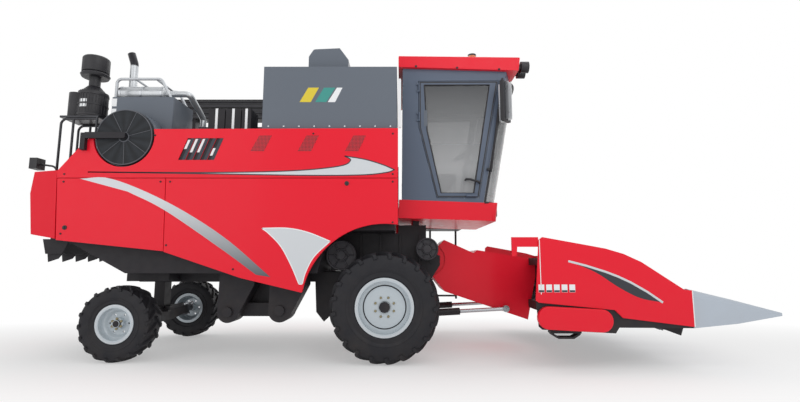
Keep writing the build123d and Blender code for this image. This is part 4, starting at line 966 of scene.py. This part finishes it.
@dataclass
class GrainTank:
    """Stripes and bolts of the tank's side walls."""

    wall: float = 1.120
    stripes: tuple[tuple[str, Flat, Finish], ...] = (
        ("yellow", ((-0.832, 3.196), (-0.704, 3.196), (-0.799, 3.017), (-0.931, 3.017)), FILM_YELLOW),
        ("green", ((-0.644, 3.196), (-0.508, 3.196), (-0.614, 3.017), (-0.746, 3.017)), FILM_GREEN),
        ("white", ((-0.489, 3.196), (-0.423, 3.196), (-0.508, 3.017), (-0.596, 3.017)), FILM_WHITE),
    )
    bolts: int = 9
    first_bolt: tuple[float, float] = (-1.29, 2.72)
    bolt_pitch: float = 0.18

    def build(self, palette: Palette) -> None:
        """Makes the stripes and bolts of both walls."""
        x, z = self.first_bolt
        for side, word in SIDES:
            for name, outline, finish in self.stripes:
                shape = Shape().prism(outline, side * self.wall, side * (self.wall + 0.0012))
                shape.place(f"tank_stripe_{name}_{word}", "chassis", "slate", palette(finish))
            bolts = Shape()
            for number in range(self.bolts):
                bolts.nut((x + self.bolt_pitch * number, side * self.wall, z), (0, side, 0), 0.018, 0.008)
            bolts.place(f"tank_bolts_{word}", "chassis", "bright_steel", palette(STEEL))


@dataclass
class Drive:
    """Side sheets and spoked pulley faces in the wheel arches and under the cab."""

    sheet: Flat = ((-0.62, 1.02), (0.60, 1.02), (0.60, 1.60), (0.24, 1.60), (0.24, 1.495), (-0.48, 1.495),
                   (-0.62, 1.27))
    sheet_y: tuple[float, float] = (0.4605, 0.4665)
    rib_y: tuple[float, float] = (0.466, 0.486)
    ribs: int = 5
    pulleys: tuple[tuple[float, float, float, float], ...] = (
        (-0.449, 1.212, 0.180, -0.790), (0.601, 1.290, 0.140, -0.660),
    )

    def build(self, palette: Palette) -> None:
        """Makes the sheets of both sides and the faces of the right side's pulleys."""
        for side, word in SIDES:
            shape = Shape().prism(self.sheet, side * self.sheet_y[0], side * self.sheet_y[1])
            for number in range(self.ribs):
                x = -0.50 + 0.25 * number
                rib = [(x, 1.03), (x + 0.03, 1.03), (x + 0.03, 1.48), (x, 1.48)]
                shape.prism(rib, side * self.rib_y[0], side * self.rib_y[1])
            shape.place(f"drive_sheet_{word}", "chassis", "frame_black", palette(BLACK), 0.002)
        faces = Shape()
        for x, z, radius, y in self.pulleys:
            for ring, bar in ((radius - 0.012, 0.010), (radius * 0.42, 0.007)):
                faces.hoop((x, y - 0.002, z), ring, bar, 48)
            faces.spokes((x, y + 0.006, z), 6, 0.0, (0.045, radius - 0.015), 0.009, 8)
        faces.place("pulley_spokes", "chassis", "frame_black", palette(PULLEY))


@dataclass
class RearDeck:
    """Trim of the dust screen, the air cleaner, the muffler, the tool boxes and the radiator box."""

    screen: Point = (-2.963, -1.160, 2.58)
    cleaner: Point = (-3.605, -0.800, 2.905)
    muffler: tuple[float, float] = (-0.64, 3.29)
    clamps: tuple[float, ...] = (-3.33, -3.06, -2.80)
    straps: tuple[float, ...] = (-1.968, -1.765, -1.605)
    plates: Flat = ((-3.275, 3.09), (-3.275, 2.96))

    def build(self, palette: Palette) -> None:
        """Makes the deck's small pieces."""
        x, y, z = self.screen
        ring = Shape()
        for radius, bar in ((0.326, 0.006), (0.055, 0.007)):
            ring.hoop((x, y - 0.001, z), radius, bar, 64)
        ring.spokes((x, y + 0.001, z), 7, 0.3, (0.05, 0.325), 0.0035, 6)
        ring.place("screen_rings", "dust_screen", "dark_mesh", palette(CAST))
        self.cleaner_trim(palette)
        clamps = Shape()
        band = [(-0.012, 0.095), (-0.011, 0.099), (0.011, 0.099), (0.012, 0.095)]
        for at in self.clamps:
            clamps.lathe((at, *self.muffler), (1, 0, 0), band, 48)
        clamps.place("muffler_clamps", "chassis", "bright_steel", palette(STEEL))
        straps = Shape()
        for x in self.straps:
            straps.box((x - 0.015, -0.9775, 2.70), (x + 0.015, -0.975, 2.9875))
            straps.box((x - 0.015, -0.9775, 2.985), (x + 0.015, -0.70, 2.9875))
        straps.place("box_straps", "chassis", "silver", palette(FILM_WHITE))
        plates = Shape()
        for x, z in self.plates:
            plates.box((x - 0.032, -0.9015, z - 0.05), (x + 0.032, -0.9, z + 0.05))
        plates.place("radiator_plates", "chassis", "silver", palette(FILM_WHITE), 0.004)

    def cleaner_trim(self, palette: Palette) -> None:
        """Puts bands, ribs and a bare plate round the air cleaner."""
        bands = Shape()
        x, y, low = self.cleaner
        for level in (0.03, 0.165, 0.30):
            bands.lathe((x, y, low + level), (0, 0, 1),
                        [(-0.012, 0.166), (-0.010, 0.171), (0.010, 0.171), (0.012, 0.166)], 56)
        for level in range(14):
            turn = radians(-170 + 12.3 * level)
            rib = [(x + far * cos(turn), y + far * sin(turn), low + high)
                   for far, high in ((0.166, 0.05), (0.168, 0.29), (0.150, 0.345))]
            bands.tube(rib, 0.004, 6)
        bands.place("cleaner_bands", "chassis", "black_plastic", palette(PLASTIC))
        label = Shape()
        points = []
        for at in range(9):
            turn = radians(-112 + 32 * at / 8)
            for level in (3.02, 3.12):
                points.append((x + 0.1675 * cos(turn), y + 0.1675 * sin(turn), level))
        label.faces(points, [(2 * at, 2 * at + 2, 2 * at + 3, 2 * at + 1) for at in range(8)])
        label.place("cleaner_plate", "chassis", "silver", palette(FILM_WHITE))


@dataclass
class Cab:
    """Seals, handles, lamps, wiper, mirror faces and the padded seat."""

    glass: Flat = ((0.568, 3.354), (0.60, 2.76), (0.768, 1.971), (1.174, 1.971), (1.40, 3.36))
    door: Flat = ((0.503, 3.401), (0.503, 2.806), (0.718, 1.915), (1.232, 1.915), (1.508, 3.407))
    door_middle: tuple[float, float] = (0.95, 2.65)
    grip: tuple[Point, ...] = (
        (1.075, 0.79, 2.135), (1.075, 0.835, 2.137), (1.12, 0.845, 2.135), (1.20, 0.845, 2.112),
        (1.243, 0.835, 2.10), (1.243, 0.79, 2.098),
    )
    screen_bulge: float = 0.195
    screen_foot: tuple[float, float] = (1.300, 1.852)
    screen_top: float = 3.380
    screen_lean: float = 0.1866
    screen_half: float = 0.796
    screen_round: float = 0.72
    screen_columns: int = 48
    screen_rows: int = 12
    roof_bolts: Flat = ((0.466, 3.58), (0.984, 3.56), (1.513, 3.54))
    roof_lamp_y: tuple[float, ...] = (0.77, 0.59)
    mirror_middle: tuple[float, float, float] = (1.56, 0.93, 3.09)
    mirror_turn: float = -40.0
    mirror_half: float = 0.0235
    pad_round: float = 0.42
    pad_welt: float = 0.035
    pad_rows: int = 24
    pad_columns: int = 40

    def build(self, palette: Palette) -> None:
        """Makes the cab's small pieces and its seat."""
        for side, word in SIDES:
            seal = Shape()
            loop = [(x, side * 0.7905, z) for x, z in self.glass]
            seal.tube(loop + loop[:1], 0.012, 8)
            seal.place(f"glass_seal_{word}", f"door_{word}", "black_plastic", palette(PLASTIC))
            rim = Shape()
            middle_x, middle_z = self.door_middle
            inset = [(x + (middle_x - x) * 0.035, z + (middle_z - z) * 0.018) for x, z in self.door]
            for first, second in zip(inset, inset[1:] + inset[:1]):
                rim.prism(strip([first, second], 0.014), side * 0.80, side * 0.8022)
            rim.place(f"door_edge_{word}", f"door_{word}", "black_plastic", palette(PLASTIC))
            grip = Shape()
            grip.tube([(x, side * y, z) for x, y, z in self.grip], 0.014, 12)
            grip.place(f"door_grip_{word}", f"door_{word}", "black_plastic", palette(PLASTIC))
            leaf = Shape()
            leaf.plate(side, 0.8, 0.803, (0.565, 2.816), (0.605, 3.023))
            for level in (2.84, 2.92, 3.0):
                leaf.nut((0.585, side * 0.803, level), (0, side, 0), 0.014, 0.005)
            leaf.place(f"door_lock_plate_{word}", f"door_{word}", "slate", palette(SLATE))
            self.lamps(side, word, palette)
            self.mirror(side, word, palette)
        self.windscreen(palette)
        bolts = Shape()
        for side in (-1, 1):
            for x, z in self.roof_bolts:
                bolts.nut((x, side * 0.85, z), (0, side, 0), 0.026, 0.01)
        bolts.place("roof_bolts", "chassis", "frame_black", palette(BLACK))
        dome = [(0, 0.056), (0.07, 0.056), (0.09, 0.045), (0.099, 0.02), (0.1, 0)]
        beacon = Shape().lathe((1.215, -0.60, 3.75), (0, 0, 1), dome, 40)
        beacon.place("beacon_lens", "chassis", "lamp_lens", palette(AMBER))
        pipe = Shape().tube([(0.262, -1.125, 2.70), (0.262, -1.125, 3.30)], 0.016, 12)
        pipe.place("tank_vent_pipe", "chassis", "silver", palette(FILM_WHITE))
        self.seat(palette)

    def screen_line(self, z: float, inset: float = 0.0) -> list[Point]:
        """Level line round the windscreen.

        Args:
            z: Its height.
            inset: How far it lies behind the outer face.

        Returns:
            Points from the right pillar to the left one.
        """
        foot = self.screen_foot[0] + self.screen_lean * (z - self.screen_foot[1])
        line = []
        for column in range(self.screen_columns + 1):
            turn = pi * column / self.screen_columns
            hand = 1 if cos(turn) > 0 else -1
            line.append((foot + (self.screen_bulge - inset) * abs(sin(turn)) ** self.screen_round,
                         -self.screen_half * hand * abs(cos(turn)) ** self.screen_round, z))
        return line

    def windscreen(self, palette: Palette) -> None:
        """Makes the windscreen: one sheet that wraps from pillar to pillar and leans forwards."""
        columns, rows = self.screen_columns, self.screen_rows
        low, high = self.screen_foot[1], self.screen_top
        points, loops = [], []
        for thick in (0.0, 0.006):
            for row in range(rows + 1):
                points += self.screen_line(low + (high - low) * row / rows, thick)
        sheet = (rows + 1) * (columns + 1)
        for back in (0, sheet):
            for row in range(rows):
                for column in range(columns):
                    at = back + row * (columns + 1) + column
                    loops.append((at, at + 1, at + columns + 2, at + columns + 1))
        glass = Shape().faces(points, loops)
        piece = glass.place("windscreen_sheet", "chassis", "cab_glass", palette(FRONT_GLASS_WITH_PAINTED_LIGHT))
        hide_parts("windscreen")
        seal = Shape()
        for level in (low, high):
            seal.tube(self.screen_line(level), 0.014, 8)
        for side in (-1, 1):
            seal.tube([(1.304, side * 0.80, low), (1.589, side * 0.80, high)], 0.014, 8)
        seal.place("windscreen_seal", "chassis", "black_plastic", palette(PLASTIC))
        wiper = Shape()
        wiper.tube([(1.509, 0.05, 1.90), (1.556, 0.10, 2.10), (1.66, 0.30, 2.62)], 0.007, 8)
        wiper.tube([(1.632, 0.33, 2.30), (1.70, 0.27, 2.92)], 0.009, 8)
        wiper.place("wiper", "chassis", "black_plastic", palette(PLASTIC))

    def lamps(self, side: int, word: str, palette: Palette) -> None:
        """Puts lenses on the head lamps and the roof lamps of one side."""
        head = Shape()
        head.plate(side, 0.561, 0.719, (1.464, 1.696), (1.469, 1.764))
        head.place(f"head_lamp_lens_{word}", "chassis", "lamp_lens", palette(LENS), 0.002)
        roof = Shape()
        dome = [(0, 0.060), (0.004, 0.054), (0.006, 0.03), (0.0065, 0)]
        for y in self.roof_lamp_y:
            roof.lathe((1.9035, side * y, 3.6), (1, 0, 0), dome, 40)
        roof.place(f"roof_lamp_lenses_{word}", "chassis", "lamp_lens", palette(LENS))

    def mirror(self, side: int, word: str, palette: Palette) -> None:
        """Adds the bright face and the reflector of one mirror."""
        turn = Matrix.Rotation(radians(self.mirror_turn * side), 3, "Z")
        x, y, z = self.mirror_middle
        middle = Vector((x, side * y, z))
        for name, out, half, finish in (
            ("face", -self.mirror_half, Vector((0.0015, 0.078, 0.235)), SILVER),
            ("cover", self.mirror_half, Vector((0.0015, 0.082, 0.24)), FILM_WHITE),
        ):
            spot = middle + turn @ Vector((out, 0, 0))
            sheet = Shape().box(tuple(spot - half), tuple(spot + half), turn)
            sheet.place(f"mirror_{name}_{word}", "chassis", "silver", palette(finish))

    def seat(self, palette: Palette) -> None:
        """Makes the seat: a moulded base under a padded cushion and back."""
        foot = [(0, 0), (0, 0.19), (0.05, 0.19), (0.07, 0.13), (0.24, 0.13), (0.26, 0.20), (0.32, 0.20),
                (0.32, 0)]
        base = Shape().lathe((0.80, 0, 1.88), (0, 0, 1), foot, 32)
        stand = base.place("seat_base", "chassis", "black_plastic", palette(PLASTIC))
        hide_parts("seat")
        for name, low, high, lean in (
            ("seat_cushion", (0.58, -0.225, 2.19), (1.05, 0.225, 2.33), -4.0),
            ("seat_back", (0.515, -0.215, 2.27), (0.645, 0.215, 2.84), -6.0),
        ):
            pad = self.pad(low, high, lean).place(name, "chassis", "seat_fabric", palette(CLOTH), smooth=80)
            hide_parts("seat")

    def pad(self, low: Point, high: Point, lean: float) -> Shape:
        """Crowned closed form whose sides pull in between its corners.

        Args:
            low: Lowest corner.
            high: Highest corner.
            lean: Turn about the axis across the cab, in degrees.

        Returns:
            The shape.
        """
        middle = (Vector(low) + Vector(high)) / 2
        half = (Vector(high) - Vector(low)) / 2
        turn = Matrix.Rotation(radians(lean), 3, "Y")
        rows, columns = self.pad_rows, self.pad_columns

        def bent(value: float) -> float:
            """Sine or cosine pushed towards a rounded square."""
            return (1 if value > 0 else -1) * abs(value) ** self.pad_round

        points, loops = [], []
        for row in range(rows + 1):
            tilt = -pi / 2 + pi * row / rows
            for column in range(columns):
                swing = 2 * pi * column / columns
                across = bent(cos(tilt)) * bent(cos(swing))
                along = bent(cos(tilt)) * bent(sin(swing))
                welt = 1 - self.pad_welt * max(0.0, 1 - abs(sin(tilt)) * 6)
                spot = Vector((half.x * across * welt, half.y * along * welt, half.z * bent(sin(tilt))))
                points.append(middle + turn @ spot)
        for row in range(rows):
            for column in range(columns):
                after = (column + 1) % columns
                loops.append((row * columns + column, row * columns + after,
                              (row + 1) * columns + after, (row + 1) * columns + column))
        shape = Shape().faces(points, loops)
        bmesh.ops.remove_doubles(shape.mesh, verts=shape.mesh.verts, dist=0.0004)
        return shape


@dataclass
class Header:
    """Films, bare plates, painted highlight lines and the winding auger of the corn header."""

    skin: float = 1.560
    sweep: Flat = ((2.021, 1.141), (2.406, 1.03), (2.66, 0.921), (2.979, 0.717), (2.746, 0.763),
                   (2.527, 0.875), (2.295, 1.028))
    crest: Flat = ((2.021, 1.141), (2.206, 1.093), (2.406, 1.03), (2.533, 0.981), (2.66, 0.921),
                   (2.83, 0.822), (2.979, 0.717))
    plates: Flat = ((1.73, 0.86), (1.81, 0.86), (1.89, 0.86), (1.97, 0.86), (2.05, 0.86))
    # Ends of the white lines of painted highlight on the fairing's back edge and on the snout joint.
    hem: Flat = ((1.727, 0.80), (1.727, 1.365))
    joint: Flat = ((3.293, 0.472), (3.293, 0.836))
    auger: tuple[float, float] = (2.270, 0.790)
    tube_radius: float = 0.090
    flight_radius: float = 0.217
    flight_turns: float = 2.2
    flight_steps: int = 96

    def build(self, palette: Palette) -> None:
        """Makes the header's small pieces and its auger."""
        outline = flowing(self.sweep, (0, 3))
        skin = self.skin
        for side, word in SIDES:
            for name, flat, near, far, slot, finish in (
                ("fairing_sweep", outline, skin, skin + 0.0012, "slate", FILM_DARK),
                ("fairing_sweep_edge", strip(self.crest, 0.022), skin, skin + 0.002, "silver", FILM_SILVER),
            ):
                shape = Shape().prism(flat, side * near, side * far)
                shape.place(f"{name}_{word}", "header", slot, palette(finish))
            bare, feet = Shape(), Shape()
            for x, z in self.plates:
                bare.plate(side, skin, skin + 0.0014, (x - 0.03, z - 0.04), (x + 0.03, z + 0.04))
                feet.plate(side, skin, skin + 0.0020, (x - 0.028, z - 0.038), (x + 0.028, z - 0.018))
            bare.place(f"fairing_plates_{word}", "header", "silver", palette(FILM_WHITE))
            feet.place(f"fairing_plate_feet_{word}", "header", "frame_black", palette(FILM_DARK))
            # White lines on the fairing's back edge and on the snout joint: painted highlights.
            for name, line, width, near, far in (
                ("fairing_hem_highlight", self.hem, 0.008, skin, skin + 0.0014),
                ("snout_joint_highlight", self.joint, 0.010, 1.5, 1.5612),
            ):
                shape = Shape().prism(strip(line, width), side * near, side * far)
                shape.place(f"{name}_{word}", "header", "silver", palette(FILM_WHITE))
        self.winding(palette)

    def winding(self, palette: Palette) -> None:
        """Makes the auger: a tube with a flight of each hand that meet at the feeder's mouth."""
        low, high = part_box("header_auger")
        reach = min(high[1], -low[1]) - 0.004
        x, z = self.auger
        shape = Shape().lathe((x, 0, z), (0, 1, 0), [(-reach, 0), (-reach, self.tube_radius),
                                                     (reach, self.tube_radius), (reach, 0)], 40)
        turns, steps = self.flight_turns, self.flight_steps
        for side in (-1, 1):
            points, loops = [], []
            for at in range(steps + 1):
                turn = 2 * pi * turns * at / steps * side
                y = side * (0.12 + (reach - 0.14) * at / steps)
                for radius in (self.tube_radius - 0.004, self.flight_radius):
                    for thick in (-0.003, 0.003):
                        points.append((x + radius * cos(turn), y + thick, z + radius * sin(turn)))
            for at in range(steps):
                here, after = 4 * at, 4 * at + 4
                loops += [(here, after, after + 2, here + 2), (here + 1, here + 3, after + 3, after + 1),
                          (here + 2, after + 2, after + 3, here + 3)]
            shape.faces(points, loops)
        piece = shape.place("cross_auger", "auger_body", "bright_steel", palette(STEEL))
        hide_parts("header_auger")


@dataclass
class Studio:
    """Camera, lamps, surroundings and floor."""

    eye: Point = (0.264, -6.457, 1.142)
    tilt: float = 7.352
    lens: float = 20.925
    lamps: tuple[tuple[str, Point, Point, float, float], ...] = (
        ("key", (3.5, -7.5, 6.5), (-0.2, 0.0, 1.8), 6.0, 170.0),
        ("fill", (-6.0, -7.0, 4.0), (-1.0, 0.0, 1.8), 6.0, 80.0),
        ("top", (0.0, 1.0, 8.5), (0.0, 0.0, 1.0), 8.0, 160.0),
        ("back", (1.0, 8.5, 5.0), (0.0, 0.0, 1.8), 6.0, 110.0),
    )
    soft_light: float = 0.52
    floor_half: float = 60.0

    def build(self) -> None:
        """Sets up the whole studio."""
        scene = bpy.context.scene
        scene.view_settings.view_transform = "Standard"
        data = bpy.data.cameras.new("camera")
        data.sensor_width = 36.0
        data.lens = self.lens
        data.clip_end = 200.0
        camera = bpy.data.objects.new("camera", data)
        camera.location = self.eye
        camera.rotation_euler = (radians(90 + self.tilt), 0.0, 0.0)
        scene.collection.objects.link(camera)
        scene.camera = camera
        for name, spot, aim, size, power in self.lamps:
            lamp = bpy.data.lights.new(name, "AREA")
            lamp.size = size
            lamp.energy = power
            holder = bpy.data.objects.new(name, lamp)
            holder.location = spot
            holder.rotation_euler = (Vector(aim) - Vector(spot)).to_track_quat("-Z", "Y").to_euler()
            scene.collection.objects.link(holder)
        self.surroundings()
        self.floor()

    def surroundings(self) -> None:
        """White to the camera, in reflections and through glass, and softer as a light."""
        graph = Graph(bpy.data.worlds.new("studio"))
        seen = graph.node("ShaderNodeLightPath", output="Is Camera Ray")
        glossy = graph.node("ShaderNodeLightPath", output="Is Glossy Ray")
        through = graph.node("ShaderNodeLightPath", output="Is Transmission Ray")
        strength = (seen + glossy + through).ramp(0.0, 1.0, self.soft_light, 1.0)
        light = graph.node("ShaderNodeBackground", values={"Color": (1, 1, 1, 1), "Strength": strength})
        bpy.context.scene.world = graph.end(light, "ShaderNodeOutputWorld")

    def floor(self) -> None:
        """Pale ground that fades into the white surroundings with its distance."""
        graph = Graph(bpy.data.materials.new("studio_floor"))
        spread = graph.place((0.36, 1.0, 1.0))
        distance = graph.node("ShaderNodeVectorMath", {"operation": "LENGTH"}, {0: spread}, output="Value")
        matt = graph.node("ShaderNodeBsdfDiffuse", values={"Color": (0.93, 0.93, 0.93, 1)})
        bright = graph.node("ShaderNodeEmission", values={"Color": (1, 1, 1, 1), "Strength": 1.0})
        shader = graph.node(
            "ShaderNodeMixShader", values={0: distance.ramp(1.3, 3.4, 0.35, 1.0), 1: matt, 2: bright},
        )
        shape = Shape()
        reach = self.floor_half
        shape.faces([(-reach, -reach, 0), (reach, -reach, 0), (reach, reach, 0), (-reach, reach, 0)],
                    [(0, 1, 2, 3)])
        data = bpy.data.meshes.new("floor")
        shape.mesh.to_mesh(data)
        shape.mesh.free()
        ground = bpy.data.objects.new("floor", data)
        data.materials.append(graph.end(shader))
        bpy.context.scene.collection.objects.link(ground)


def dress_nodes(palette: Palette) -> None:
    """Gives every node of the frame its finish, and rounded edges where it is a rigid piece."""
    for name, finish in PLAIN_DRESS.items():
        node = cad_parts[name]
        for place in node.material_slots:
            place.material = palette(finish)
        if name not in UNBEVELLED:
            joined = node.modifiers.new("joined", "WELD")
            joined.merge_threshold = 0.0002
            edges = soften(node, 0.004)
            edges.angle_limit = radians(40)
            edges.harden_normals = True


def main() -> None:
    """Dresses the frame, builds every piece and sets up the studio."""
    logging.basicConfig(level=logging.INFO, format="%(message)s")
    palette = Palette()
    dress_nodes(palette)
    Wheels("front", x=0.090, radius=0.625, width=0.378, track=1.010, seat=0.305, rim_width=0.330, lugs=21,
           nuts=8, nut_circle=0.112, nut_out=0.0825, hub_radius=0.067, disc_radius=0.235).build(palette)
    Wheels("rear", x=-2.975, radius=0.430, width=0.318, track=0.930, seat=0.195, rim_width=0.260, lugs=18,
           nuts=6, nut_circle=0.057, nut_out=0.0690, hub_radius=0.0425).build(palette)
    Bodywork().build(palette)
    GrainTank().build(palette)
    Drive().build(palette)
    RearDeck().build(palette)
    Cab().build(palette)
    Header().build(palette)
    Studio().build()


if __name__ == "__main__":
    main()
